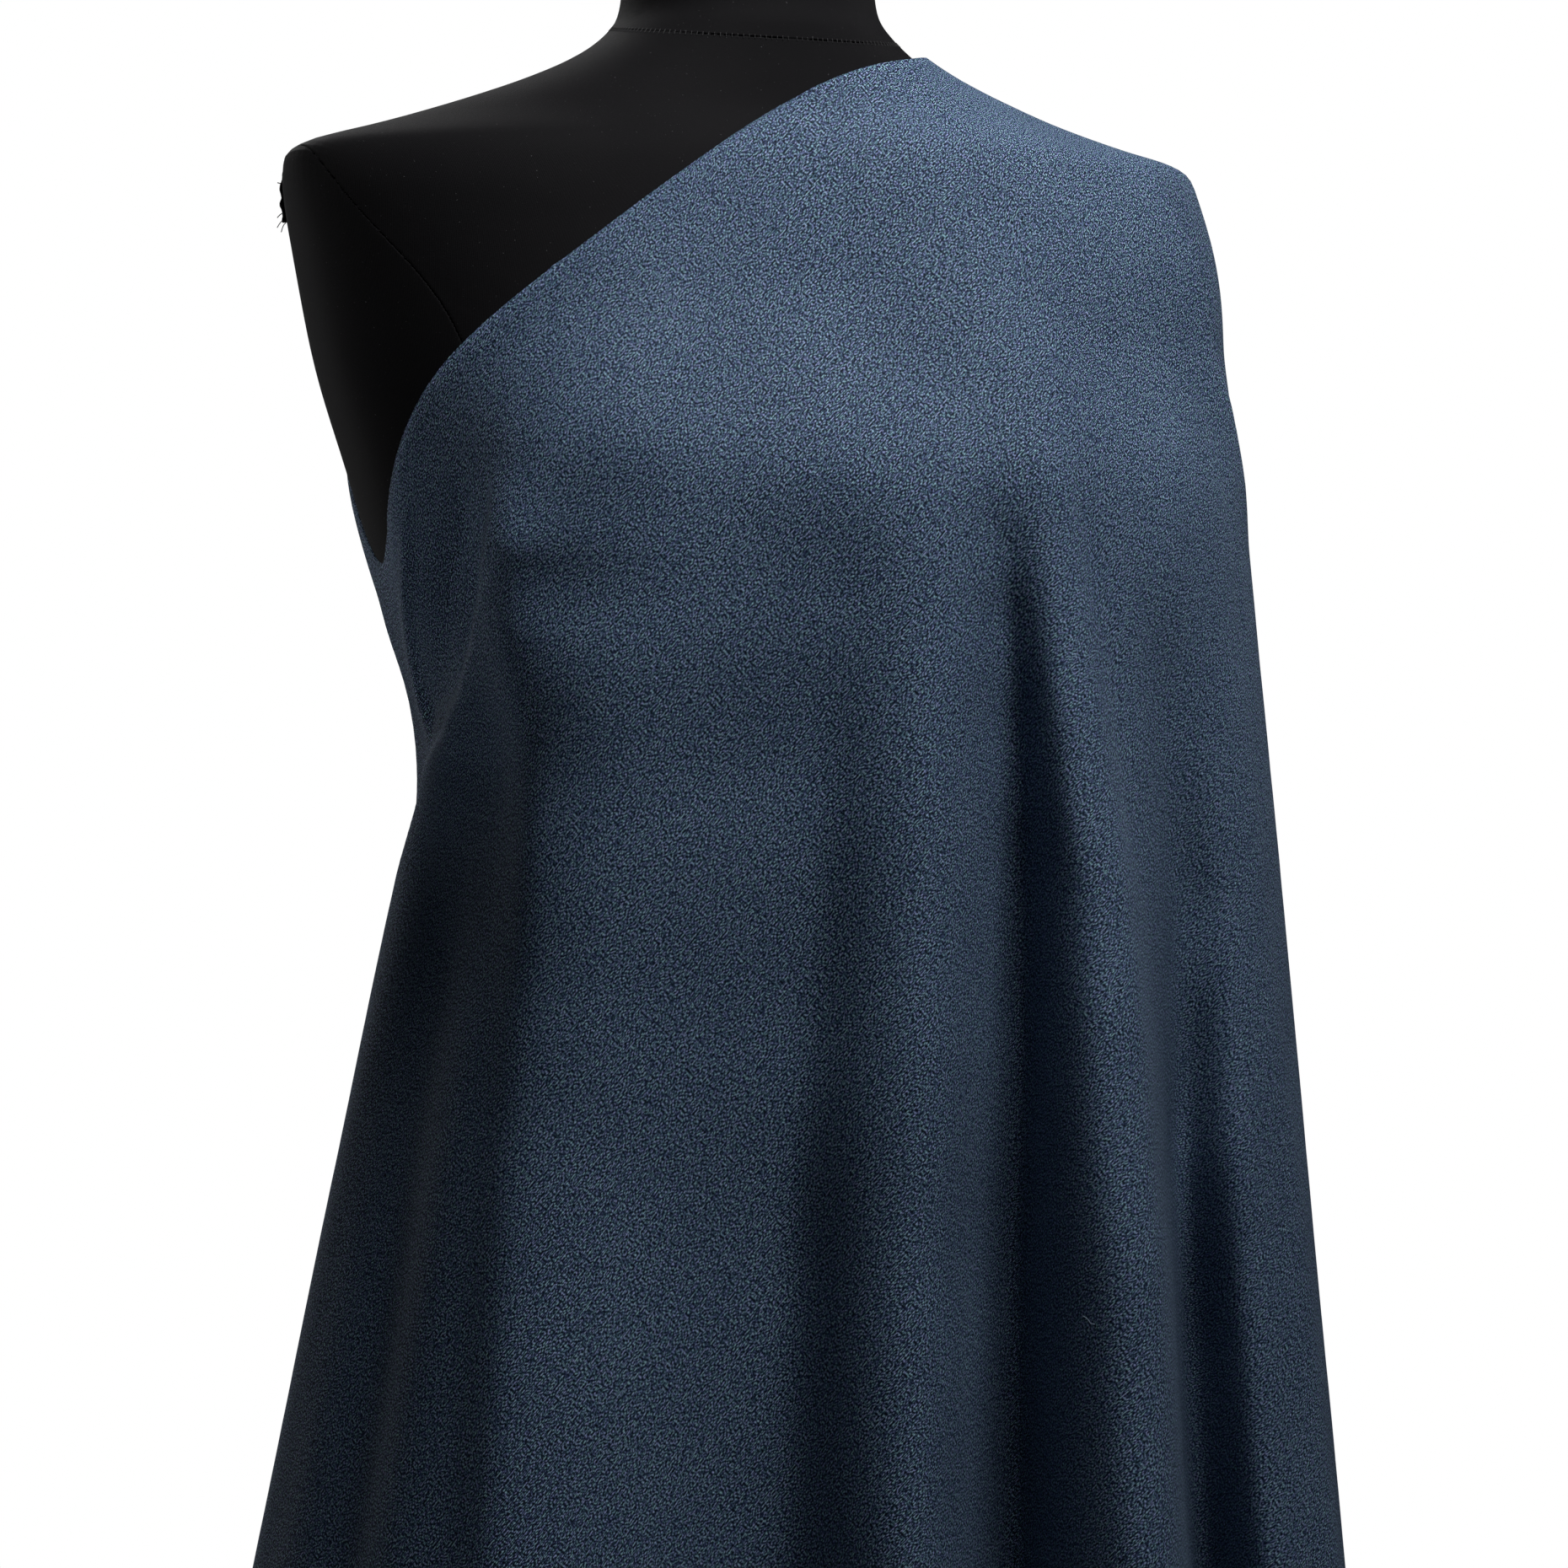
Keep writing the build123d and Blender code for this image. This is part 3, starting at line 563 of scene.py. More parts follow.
def table(*rows):
    """A smooth function of height from a few (height, value) rows."""
    rows = sorted(rows)
    heights = [r[0] for r in rows]
    values = [r[1] for r in rows]

    def at(height):
        i = np.clip(np.searchsorted(heights, height) - 1, 0, len(rows) - 2)
        lo = np.take(heights, i)
        hi = np.take(heights, i + 1)
        t = np.clip((height - lo) / (hi - lo), 0, 1)
        t = smoothstep(t) * 0.5 + t * 0.5
        return np.take(values, i) * (1 - t) + np.take(values, i + 1) * t

    return at


# ---------------------------------------------------------------- drape


class Fold:
    """A ridge or a valley in the hanging cloth. Its line, depth and widths change with height.
    It pushes the cloth straight out from the axis, or towards one heading, so that a ridge can
    hang in front of the valley beside it."""

    def __init__(self, line, depth, before, after, heading=None, power=2.0):
        self.line = table(*line)
        self.depth = table(*depth)
        self.before = table(*before)
        self.after = table(*after)
        self.heading = heading
        self.power = power

    def push(self, angle, height, radius):
        offset = (angle - self.line(height) + 180) % 360 - 180
        offset = offset * np.pi / 180 * radius
        width = np.where(offset < 0, self.before(height), self.after(height))
        return self.depth(height) * np.exp(-np.abs(offset / width) ** self.power)


FRONT = CAMERA_AZIMUTH      # heading of the folds that hang down the front

FOLDS = [
    # the sharp ridge that falls from the left bust
    Fold(
        [(1.19, 38), (1.13, 39.5), (1.08, 40.5), (1.02, 42), (0.85, 42), (0.72, 40.5), (HEM, 39)],
        [(1.23, 0), (1.19, 0.005), (1.13, 0.010), (1.08, 0.016), (1.02, 0.024), (0.96, 0.032),
         (0.85, 0.046), (0.70, 0.056), (HEM, 0.064)],
        [(1.2, 0.014), (1.02, 0.024), (0.9, 0.033), (0.8, 0.036), (HEM, 0.046)],
        [(1.2, 0.009), (1.02, 0.011), (0.9, 0.014), (0.8, 0.015), (HEM, 0.022)],
        FRONT, 3.2,
    ),
    # the deep valley in front of it
    Fold(
        [(1.19, 26), (1.16, 27.5), (1.11, 28), (1.04, 27.5), (0.96, 26), (0.85, 23), (0.72, 20.5),
         (HEM, 18)],
        [(1.20, 0), (1.16, -0.008), (1.13, -0.016), (1.08, -0.028), (1.02, -0.038), (0.96, -0.046),
         (0.85, -0.060), (0.70, -0.070), (HEM, -0.080)],
        [(1.2, 0.018), (1.0, 0.026), (0.85, 0.032), (HEM, 0.036)],
        [(1.2, 0.010), (1.0, 0.012), (0.85, 0.014), (HEM, 0.018)],
        FRONT, 1.8,
    ),
    # the soft bright ridge in front of the valley
    Fold(
        [(1.19, 17), (1.08, 14), (0.93, 10.5), (0.72, 6), (HEM, 4)],
        [(1.24, 0), (1.15, 0.003), (1.05, 0.006), (0.9, 0.010), (0.70, 0.014), (HEM, 0.020)],
        [(1.2, 0.018), (0.9, 0.020), (HEM, 0.030)],
        [(1.2, 0.020), (0.9, 0.022), (HEM, 0.030)],
        FRONT,
    ),
    # the soft shadow right of the broad front
    Fold(
        [(1.15, -5), (1.05, -9.5), (0.9, -14), (0.75, -15.5), (HEM, -17)],
        [(1.20, 0), (1.14, -0.009), (1.06, -0.022), (0.95, -0.036), (0.85, -0.048), (0.70, -0.060),
         (HEM, -0.070)],
        [(1.2, 0.050), (0.9, 0.078), (HEM, 0.084)],
        [(1.2, 0.026), (0.9, 0.030), (HEM, 0.034)],
        FRONT,
    ),
    # the valley behind the ridge
    Fold(
        [(1.12, 53), (1.02, 53), (0.96, 51.5), (0.89, 49.5), (0.72, 47.5), (HEM, 47)],
        [(1.16, 0), (1.08, -0.014), (1.0, -0.030), (0.9, -0.052), (0.80, -0.070), (0.70, -0.080),
         (HEM, -0.092)],
        [(1.2, 0.011), (0.9, 0.013), (HEM, 0.018)],
        [(1.2, 0.026), (1.0, 0.026), (0.9, 0.023), (HEM, 0.028)],
        FRONT,
    ),
    # the rounded panel under the arm
    Fold(
        [(1.1, 68), (0.9, 67), (0.72, 65), (HEM, 66)],
        [(1.15, 0), (1.0, 0.002), (0.85, 0.005), (0.70, 0.008), (HEM, 0.016)],
        [(1.2, 0.012), (0.9, 0.016), (HEM, 0.024)],
        [(1.2, 0.022), (0.9, 0.024), (HEM, 0.030)],
    ),
    # the front layer's edge that drops from the point of the left shoulder
    Fold(
        [(1.335, 72), (1.31, 72.5), (1.27, 73.5), (1.23, 76), (1.18, 78)],
        [(1.345, 0), (1.325, 0.004), (1.30, 0.0058), (1.25, 0.0055), (1.21, 0.003), (1.17, 0),
         (HEM, 0)],
        [(1.3, 0.022), (1.1, 0.026), (HEM, 0.030)],
        [(1.3, 0.0012), (HEM, 0.002)],
        60.0,
    ),
    # the gap between it and the layer behind
    Fold(
        [(1.335, 73.6), (1.31, 74.1), (1.27, 75.1), (1.23, 77.6), (1.18, 79.6)],
        [(1.340, 0), (1.322, -0.0020), (1.30, -0.0045), (1.26, -0.0040), (1.21, -0.0020), (1.17, 0),
         (HEM, 0)],
        [(1.3, 0.0018), (HEM, 0.003)],
        [(1.3, 0.0075), (1.24, 0.006), (HEM, 0.006)],
    ),
    # the front panel's own edge over the underarm wrap
    Fold(
        [(1.18, -58), (1.165, -60), (1.15, -62.5), (1.13, -66), (1.11, -71), (1.09, -78),
         (1.07, -88), (1.03, -98), (0.9, -101), (0.72, -103), (HEM, -104)],
        [(1.20, 0), (1.18, 0.006), (1.16, 0.013), (1.13, 0.021), (1.09, 0.023), (1.05, 0.020),
         (0.97, 0.016), (0.9, 0.015), (0.7, 0.018), (HEM, 0.026)],
        [(1.18, 0.003), (1.1, 0.004), (1.03, 0.006), (0.95, 0.014), (HEM, 0.028)],
        [(1.18, 0.030), (1.1, 0.046), (1.0, 0.046), (0.9, 0.034), (HEM, 0.040)],
        -30.0,
    ),
    # the pocket beside it
    Fold(
        [(1.18, -65), (1.15, -71), (1.13, -75), (1.11, -80), (1.08, -93), (1.0, -110), (HEM, -116)],
        [(1.20, 0), (1.17, -0.002), (1.11, -0.002), (1.05, -0.003), (0.9, -0.012), (HEM, -0.028)],
        [(1.18, 0.010), (0.9, 0.020), (HEM, 0.032)],
        [(1.18, 0.006), (0.9, 0.014), (HEM, 0.026)],
    ),
    # soft pleats in the underarm wrap
    Fold(
        [(1.20, -74), (1.17, -78), (1.1, -90), (1.0, -100)],
        [(1.20, 0), (1.16, 0.0030), (1.10, 0.0035), (1.05, 0), (HEM, 0)],
        [(1.2, 0.005), (HEM, 0.006)],
        [(1.2, 0.004), (HEM, 0.006)],
    ),
    Fold(
        [(1.20, -84), (1.17, -90), (1.1, -101), (1.0, -112)],
        [(1.19, 0), (1.15, 0.0026), (1.09, 0.003), (1.04, 0), (HEM, 0)],
        [(1.2, 0.006), (HEM, 0.006)],
        [(1.2, 0.005), (HEM, 0.006)],
    ),
    # the cloth bridges the hollow under the right bust
    Fold(
        [(1.26, -52), (1.19, -53), (1.12, -52), (1.0, -50), (HEM, -46)],
        [(1.27, 0), (1.23, 0.004), (1.19, 0.010), (1.16, 0.018), (1.12, 0.021), (1.05, 0.012),
         (0.97, 0.003), (0.92, 0), (HEM, 0)],
        [(1.2, 0.028), (HEM, 0.030)],
        [(1.2, 0.050), (HEM, 0.050)],
    ),
    # the broad corner of the front panel, and the flat shaded side beyond it
    Fold(
        [(1.1, -50), (0.9, -50), (0.72, -48), (HEM, -46)],
        [(1.14, 0), (1.0, 0.006), (0.85, 0.011), (0.7, 0.014), (HEM, 0.024)],
        [(1.2, 0.018), (0.9, 0.022), (HEM, 0.030)],
        [(1.2, 0.036), (0.9, 0.040), (HEM, 0.046)],
    ),
    Fold(
        [(1.1, -72), (0.9, -76), (0.72, -76), (HEM, -76)],
        [(1.06, 0), (0.98, -0.005), (0.85, -0.009), (0.7, -0.011), (HEM, -0.026)],
        [(1.2, 0.020), (0.9, 0.024), (HEM, 0.034)],
        [(1.2, 0.020), (0.9, 0.024), (HEM, 0.034)],
    ),
]

# Folds behind, unseen from the front: (angle, depth at the hem, height where it starts).
BACK_FOLDS = [
    (96, 0.020, 1.16), (108, -0.034, 1.10), (121, 0.032, 1.22), (135, -0.030, 1.15),
    (150, 0.030, 1.20), (164, -0.036, 1.12), (178, 0.034, 1.24), (191, -0.028, 1.12),
    (203, 0.030, 1.18), (216, -0.034, 1.08), (230, 0.026, 1.10),
]
for turn, depth, start in BACK_FOLDS:
    FOLDS.append(
        Fold(
            [(start, turn), (0.8, turn + random.uniform(-2, 2)),
             (HEM, turn + random.uniform(-3, 3))],
            [(start, 0), (0.9, depth * 0.45), (HEM, depth)],
            [(start, 0.016), (HEM, random.uniform(0.026, 0.034))],
            [(start, 0.016), (HEM, random.uniform(0.026, 0.034))],
        )
    )

WRAP_START = -176.0         # the wrapped-under end, behind the right side
WRAP_END = 214.0            # the free end, pinned over it
COLUMN_STEP = 0.9
FINE_COLUMNS = ((-84, -54), (70, 84))   # closer together along the two visible edges
FINE_SHARE = 0.35           # of COLUMN_STEP
ROW_STEP = 0.0045
TRACE_STEP = 0.004
OVERLAP_LIFT = 0.0035       # of the free end over the wrapped-under end
OVERLAP_RAMP = 6            # degrees over which it lifts
CLOTH_THICKNESS = 0.0008
FOLD_IN = 0.045             # depth of the turned-in top edge
FOLD_IN_ROWS = 9
FOLD_IN_GAP = 0.0018        # between the two layers of the turned-in edge
FOLD_IN_RISE = 0.0008       # of its round fold above the first row
FOLD_START = 0.05           # the folds reach their depth this far below the top edge
LEVEL_HEIGHT = 1.0          # of the level line that the weave is measured from
WOBBLES = ((7, 2.5, 0.0016), (22, 8, 0.0005))   # scale round, scale upwards, depth
CALM_HEIGHT = 0.70          # below it the folds grow shallower, down to this share at the hem
CALM_SHARE = 0.52


def fold_offsets(angle, height, radius):
    """How far the folds push the cloth: from the axis, and along X and Y."""
    out = np.zeros_like(radius)
    aside = np.zeros(radius.shape + (2,))
    for fold in FOLDS:
        push = fold.push(angle, height, radius)
        if fold.heading is None:
            out += push
        else:
            way = direction(fold.heading)
            aside += push[..., None] * np.array([way.x, way.y])
    calm = smoothstep(np.clip((height - HEM) / (CALM_HEIGHT - HEM), 0, 1))
    calm = CALM_SHARE + (1 - CALM_SHARE) * calm
    return out * calm, aside * calm[..., None]


def column_angles():
    angles = [WRAP_START]
    while angles[-1] < WRAP_END:
        near = any(low <= angles[-1] < high for low, high in FINE_COLUMNS)
        angles.append(angles[-1] + COLUMN_STEP * (FINE_SHARE if near else 1.0))
    return np.array(angles)


def soften_shoulder(angle, height, radius):
    """Draws the cloth in a gentle bow from the shoulder's end down to where it hangs free."""
    top, low, bow = 1.340, 1.262, 0.0042
    first, last, blend = 44, 134, 14
    for column in range(len(radius)):
        turn = (angle[column, 0] + 180) % 360 - 180
        share = np.clip(min(turn - first, last - turn) / blend, 0, 1)
        if share == 0:
            continue
        heights, radii = height[column][::-1], radius[column][::-1]
        ends = np.interp([low, top], heights, radii)
        line = np.interp(height[column], [low, top], ends)
        line = line + bow * np.sin(np.pi * (height[column] - low) / (top - low))
        inside = (height[column] > low) & (height[column] < top)
        drawn = radius[column] * (1 - share) + line * share
        radius[column] = np.where(inside, drawn, radius[column])
    return radius


def drape_surface():
    """The drape's outer face as a grid: columns round the form, rows from its top edge down."""
    tree = surface_tree(["drape"])
    angles = column_angles()
    lines = [trace_column(tree, a, HEM, DRAPE_HIGH.z + 0.01, TRACE_STEP) for a in angles]
    longest = max(np.hypot(*np.diff(line, axis=0).T).sum() for line in lines)
    rows = int(longest / ROW_STEP)
    grid = np.stack([resample(line[::-1], rows) for line in lines])
    grid = smooth_along(grid, 0, 6)
    radius, height = grid[..., 0], grid[..., 1]
    angle = np.repeat(angles[:, None], rows, axis=1)
    radius = soften_shoulder(angle, height, radius)
    out, aside = fold_offsets(angle, height, radius)
    ease = smoothstep(np.clip((grid[:, :1, 1] - height) / FOLD_START, 0, 1))
    over = (angle - (WRAP_START + 360)) / OVERLAP_RAMP
    lift = np.clip(over + 0.5, 0, 1) * OVERLAP_LIFT
    radius = radius + out * ease + lift
    turn = np.radians(angle)
    points = np.stack([radius * np.sin(turn), -radius * np.cos(turn), height], axis=2)
    points[..., :2] += aside * ease[..., None]
    return points


def relax(points, rounds):
    """Evens out the grid a little, keeping its edges."""
    for _ in range(rounds):
        inner = (
            points[:-2, 1:-1] + points[2:, 1:-1] + points[1:-1, :-2] + points[1:-1, 2:]
        ) / 8 + points[1:-1, 1:-1] / 2
        points[1:-1, 1:-1] = inner
    return points


def add_wobble(points):
    """The small unevenness of hanging cloth."""
    flat = points.reshape(-1, 3)
    for i, (x, y, z) in enumerate(flat):
        amount = sum(
            depth * noise.noise(Vector((x * around, y * around, z * up)))
            for around, up, depth in WOBBLES
        )
        away = math.hypot(x, y)
        flat[i, 0] += x / away * amount
        flat[i, 1] += y / away * amount
    return points


def normals_of(points):
    """Unit normals of a grid, pointing away from the axis."""
    down = np.gradient(points, axis=1)
    round_ = np.gradient(points, axis=0)
    normal = np.cross(down, round_)
    normal /= np.maximum(np.linalg.norm(normal, axis=2, keepdims=True), 1e-12)
    outward = points.copy()
    outward[..., 2] = 0
    sign = np.sign((normal * outward).sum(axis=2).mean())
    return normal * sign


def make_drape():
    """The draped cloth with its top edge turned in. Returns the grid of its outer face."""
    points = relax(drape_surface(), 3)
    points = add_wobble(points)
    normal = normals_of(points)
    # the turned-in edge: a small round fold, then a second layer inside the first
    layers = []
    for k in range(FOLD_IN_ROWS, 0, -1):
        depth = FOLD_IN * (k / FOLD_IN_ROWS) ** 1.5
        index = np.clip(int(depth / ROW_STEP), 0, points.shape[1] - 1)
        layers.append(points[:, index] - normal[:, index] * FOLD_IN_GAP)
    rim = points[:, 0] - normal[:, 0] * FOLD_IN_GAP / 2
    rim[:, 2] += FOLD_IN_RISE
    full = np.concatenate([np.stack(layers, axis=1), rim[:, None], points], axis=1)
    mesh = grid_mesh("drape_cloth", full)
    # distances on the flat cloth, from the front centre and from a level line
    across = distance_along(full, 0)
    centre = int(np.argmin(np.abs(column_angles())))
    across = across - across[centre][None, :]
    down = distance_along(full, 1)
    outer = FOLD_IN_ROWS + 1
    level = [np.interp(-LEVEL_HEIGHT, -column[outer:, 2], fallen[outer:])
             for column, fallen in zip(full, down)]
    down = down - np.array(level)[:, None]
    cloth_attributes(mesh, across, -down)
    piece = place("drape_cloth", mesh, "form", suiting())
    thicken(piece, CLOTH_THICKNESS, 0)
    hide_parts("drape")
    return points


# ---------------------------------------------------------------- jersey covers

COVERS = ["cover_neck", "cover_front", "cover_back", "cover_side_right", "cover_side_left"]

JERSEY_THICKNESS = 0.0009
BODY_COLUMN_STEP = 1.5
BODY_ROWS = 300
BODY_TRACE_STEP = 0.003
GIRTH_PER_RADIAN = 0.15     # width of flat jersey for each radian round the form

NECK_SEAM_HEIGHT = 1.401    # at the axis; the seam rises towards the back
NECK_SEAM_SLOPE = math.tan(math.radians(9.4))
ARMHOLE_LOW = 1.06
SHOWN_ARMHOLE_LOW = 1.2     # the drape hides the armhole below this height
SIDE_SEAM_ANGLE = math.radians(94)
SEAM_HALF_WIDTH = 0.0007    # of the thin groove where two covers meet
SEAM_DEPTH = 0.0007
SNAP = 0.30                 # share of an edge within which its end moves onto the seam


def body_grid(tree):
    """The covered body's surface as a grid: columns round the form, rows from the bottom up."""
    angles = np.arange(0, 360, BODY_COLUMN_STEP)
    lines = []
    for angle in angles:
        line = trace_column(tree, angle, BODY_BOTTOM, NECK_TOP, BODY_TRACE_STEP)
        lines.append(resample(line, BODY_ROWS))
    grid = smooth_along(np.stack(lines), 0, 1, wrap=True)
    turn = np.radians(angles)[:, None]
    radius, height = grid[..., 0], grid[..., 1]
    return np.stack([radius * np.sin(turn), -radius * np.cos(turn), height], axis=2)


def curve(*rows):
    """A smooth function of height that runs through a few (height, value) rows."""
    heights, values = np.array(sorted(rows)).T
    slopes = np.gradient(values, heights)

    def at(height):
        i = int(np.clip(np.searchsorted(heights, height) - 1, 0, len(heights) - 2))
        span = heights[i + 1] - heights[i]
        t = min(max((height - heights[i]) / span, 0), 1)
        return (
            (2 * t**3 - 3 * t**2 + 1) * values[i] + (t**3 - 2 * t**2 + t) * span * slopes[i]
            + (3 * t**2 - 2 * t**3) * values[i + 1] + (t**3 - t**2) * span * slopes[i + 1]
        )

    return at


ARMHOLE = curve(
    (1.352, 0.211), (1.339, 0.208), (1.315, 0.196), (1.2975, 0.1835), (1.2815, 0.171),
    (1.266, 0.161), (1.25, 0.154), (1.225, 0.148), (1.19, 0.146), (ARMHOLE_LOW, 0.146),
)


# Signed distances, each zero on its seam.


def neck_seam(p):
    return p.z - NECK_SEAM_HEIGHT - NECK_SEAM_SLOPE * p.y


def arm_seam(p):
    return abs(p.x) - float(ARMHOLE(p.z)) if p.z > ARMHOLE_LOW else -0.1


def side_seam(p):
    return p.y * math.sin(SIDE_SEAM_ANGLE) + abs(p.x) * math.cos(SIDE_SEAM_ANGLE)


def shown_arm_seam(p):
    return arm_seam(p) if p.x < 0 and p.z > SHOWN_ARMHOLE_LOW else 1.0


def panel_of(face):
    """The cover that a face belongs to."""
    c = face.calc_center_median()
    if neck_seam(c) > 0:
        return "cover_neck"
    if arm_seam(c) > 0:
        return "cover_side_right" if c.x < 0 else "cover_side_left"
    return "cover_back" if side_seam(c) > 0 else "cover_front"


def refine_near(bm, tests, reach, cuts):
    """Makes the faces near the seams smaller."""
    edges = set()
    for face in bm.faces:
        middle = face.calc_center_median()
        if any(abs(test(middle)) < reach for test in tests):
            edges.update(face.edges)
    bmesh.ops.subdivide_edges(bm, edges=list(edges), cuts=cuts, use_grid_fill=True)


def cut_along(bm, test, fixed):
    """Runs a clean edge line along the seam: near vertices move onto it, long edges split.
    Vertices that are already on a line stay where they are."""
    values = {v: test(v.co) for v in bm.verts}
    moves = {}
    for edge in bm.edges:
        a, b = edge.verts
        if values[a] * values[b] >= 0:
            continue
        share = values[a] / (values[a] - values[b])
        spot = a.co.lerp(b.co, share)
        for vert, near in ((a, share), (b, 1 - share)):
            if vert not in fixed and near < SNAP and near < moves.get(vert, (1, None))[0]:
                moves[vert] = (near, spot)
    for vert, (_, spot) in moves.items():
        vert.co = spot
        values[vert] = 0.0
    for edge in list(bm.edges):
        a, b = edge.verts
        if values[a] * values[b] >= 0:
            continue
        share = values[a] / (values[a] - values[b])
        _, vert = bmesh.utils.edge_split(edge, a, share)
        values[vert] = 0.0
    for face in list(bm.faces):
        on_seam = [v for v in face.verts if values[v] == 0.0]
        if len(on_seam) == 2 and not any(set(e.verts) == set(on_seam) for e in face.edges):
            bmesh.utils.face_split(face, on_seam[0], on_seam[1])
    return {v for v in bm.verts if values.get(v) == 0.0}


def seamed_body(tree):
    """The whole jersey surface, with an edge line and a thin groove along its seams."""
    points = body_grid(tree)
    mesh = grid_mesh("body", points, closed=True)
    turn = np.arctan2(points[..., 0], -points[..., 1])
    cloth_attributes(mesh, turn * GIRTH_PER_RADIAN, distance_along(points, 1))
    whole = bmesh.new()
    whole.from_mesh(mesh)
    bpy.data.meshes.remove(mesh)
    shown = (neck_seam, shown_arm_seam)
    refine_near(whole, shown, 0.009, 2)
    refine_near(whole, shown, 0.004, 1)
    seams = set()
    for test in (neck_seam, arm_seam, side_seam):
        seams |= cut_along(whole, test, seams)
    sides = set(seams)
    for test in shown:
        for shift in (-SEAM_HALF_WIDTH, SEAM_HALF_WIDTH):
            sides |= cut_along(whole, lambda p: test(p) + shift, sides)
    whole.normal_update()
    for vert in seams:
        if min(abs(neck_seam(vert.co)), abs(arm_seam(vert.co))) < 1e-5:
            vert.co -= vert.normal * SEAM_DEPTH
    return whole


def add_strip(bm, rows):
    """Faces between rows of three points."""
    strip = [[bm.verts.new(p) for p in row] for row in rows]
    for upper, lower in zip(strip, strip[1:]):
        for k in range(2):
            bm.faces.new((upper[k], upper[k + 1], lower[k + 1], lower[k]))


def make_covers(tree):
    """One jersey piece for each cover, cut out of the seamed body."""
    whole = seamed_body(tree)
    black = jersey()
    for name in COVERS:
        bm = whole.copy()
        drop = [f for f in bm.faces if panel_of(f) != name]
        bmesh.ops.delete(bm, geom=drop, context="FACES")
        if name == "cover_side_right":
            add_strip(bm, raw_edge_rows(tree))
        panel_mesh = bpy.data.meshes.new(name + "_jersey")
        bm.to_mesh(panel_mesh)
        bm.free()
        smooth_faces(panel_mesh)
        piece = place(name + "_jersey", panel_mesh, "form", black)
        thicken(piece, JERSEY_THICKNESS, -1)
        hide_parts(name)
    whole.free()


# ---------------------------------------------------------------- small pieces

RAW_EDGE_ANGLE = -100.0
RAW_EDGE_HEIGHTS = (1.352, 1.313)
RAW_EDGE_ROWS = 48
RAW_EDGE_PROUD = 0.0026
THREAD_RADIUS = 0.00022
THREADS = (                 # height where it starts, reach outwards, drop
    (1.3170, 0.0032, 0.0022), (1.3140, 0.0036, 0.0036), (1.3125, 0.0020, 0.0040),
    (1.330, 0.0029, -0.0004), (1.339, 0.0028, 0.0008),
)

STITCH_PITCH = 2.2          # degrees between stitches along the neck seam
STITCH_RISES = (-0.0011, -0.0005, 0.0003, 0.0009)   # of a stitch's points above the seam
STITCH_PROUD = 0.0001
STITCH_RADIUS = 0.00016

SNAG_SIDE = 0.144           # to the right of the axis in the front view, and its height
SNAG_HEIGHT = 0.836
SNAG_RADIUS = 0.00024
SNAG_THREADS = (            # start, length and rise, seen from the front
    (-0.004, 0.0085, -0.004), (0.0005, 0.005, -0.0065),
)

PIN_HEIGHTS = (1.288, 1.262, 1.236)
PIN_ANGLE = 208.0
PIN_REACH = 0.017           # half a pin's length
PIN_PROUD = 0.0020
PIN_RADIUS = 0.00035
PIN_HEAD_RADIUS = 0.0019


def tube(bm, points, radius, sides=6):
    """A thin round thread through a few points, closed at both ends."""
    rings = []
    for i, point in enumerate(points):
        along = (points[min(i + 1, len(points) - 1)] - points[max(i - 1, 0)]).normalized()
        side = along.cross(Vector((0.2, 0.3, 0.93))).normalized()
        up = along.cross(side)
        turns = [math.tau * k / sides for k in range(sides)]
        rings.append(
            [bm.verts.new(point + (side * math.cos(t) + up * math.sin(t)) * radius) for t in turns]
        )
    for lower, upper in zip(rings, rings[1:]):
        for k in range(sides):
            bm.faces.new((lower[k], lower[(k + 1) % sides], upper[(k + 1) % sides], upper[k]))
    bm.faces.new(rings[0][::-1])
    bm.faces.new(rings[-1])


def place_small(name, bm, material):
    """Finishes a small piece's mesh and places it on the form."""
    mesh = bpy.data.meshes.new(name)
    bmesh.ops.recalc_face_normals(bm, faces=bm.faces)
    bm.to_mesh(mesh)
    bm.free()
    smooth_faces(mesh)
    return place(name, mesh, "form", material)


def raw_edge_rows(tree):
    """The wavy strip of seam allowance that stands up on the right shoulder's end."""
    outward, sideways = direction(RAW_EDGE_ANGLE), direction(RAW_EDGE_ANGLE + 90)
    rows = []
    for i, height in enumerate(np.linspace(*RAW_EDGE_HEIGHTS, RAW_EDGE_ROWS)):
        radius = outer_radius(tree, RAW_EDGE_ANGLE, height)
        ends = min(1.0, i / 5, (RAW_EDGE_ROWS + 2 - i) / 4)
        reach = RAW_EDGE_PROUD * ends * (0.86 + 0.14 * math.sin(i * 0.7))
        reach += random.uniform(0, 2e-4)
        lean = 0.0009 * math.sin(i * 0.55)
        level = Vector((0, 0, height))
        rows.append([
            outward * (radius - 0.0012) + level,
            outward * (radius + reach * 0.5) + sideways * lean * 0.4 + level,
            outward * (radius + reach) + sideways * lean + level,
        ])
    return rows


def make_threads(tree):
    """Loose thread ends below the raw edge."""
    bm = bmesh.new()
    outward, sideways = direction(RAW_EDGE_ANGLE), direction(RAW_EDGE_ANGLE + 90)
    for height, reach, drop in THREADS:
        radius = outer_radius(tree, RAW_EDGE_ANGLE, height)
        lean = random.uniform(-0.0012, 0.0012)
        points = []
        for k in range(7):
            t = k / 6
            points.append(
                outward * (radius + 0.001 + reach * t) + sideways * lean * math.sin(3 * t)
                + Vector((0, 0, height - drop * t * t))
            )
        tube(bm, points, THREAD_RADIUS)
    place_small("loose_threads", bm, thread("black_thread", (0.012, 0.012, 0.013)))


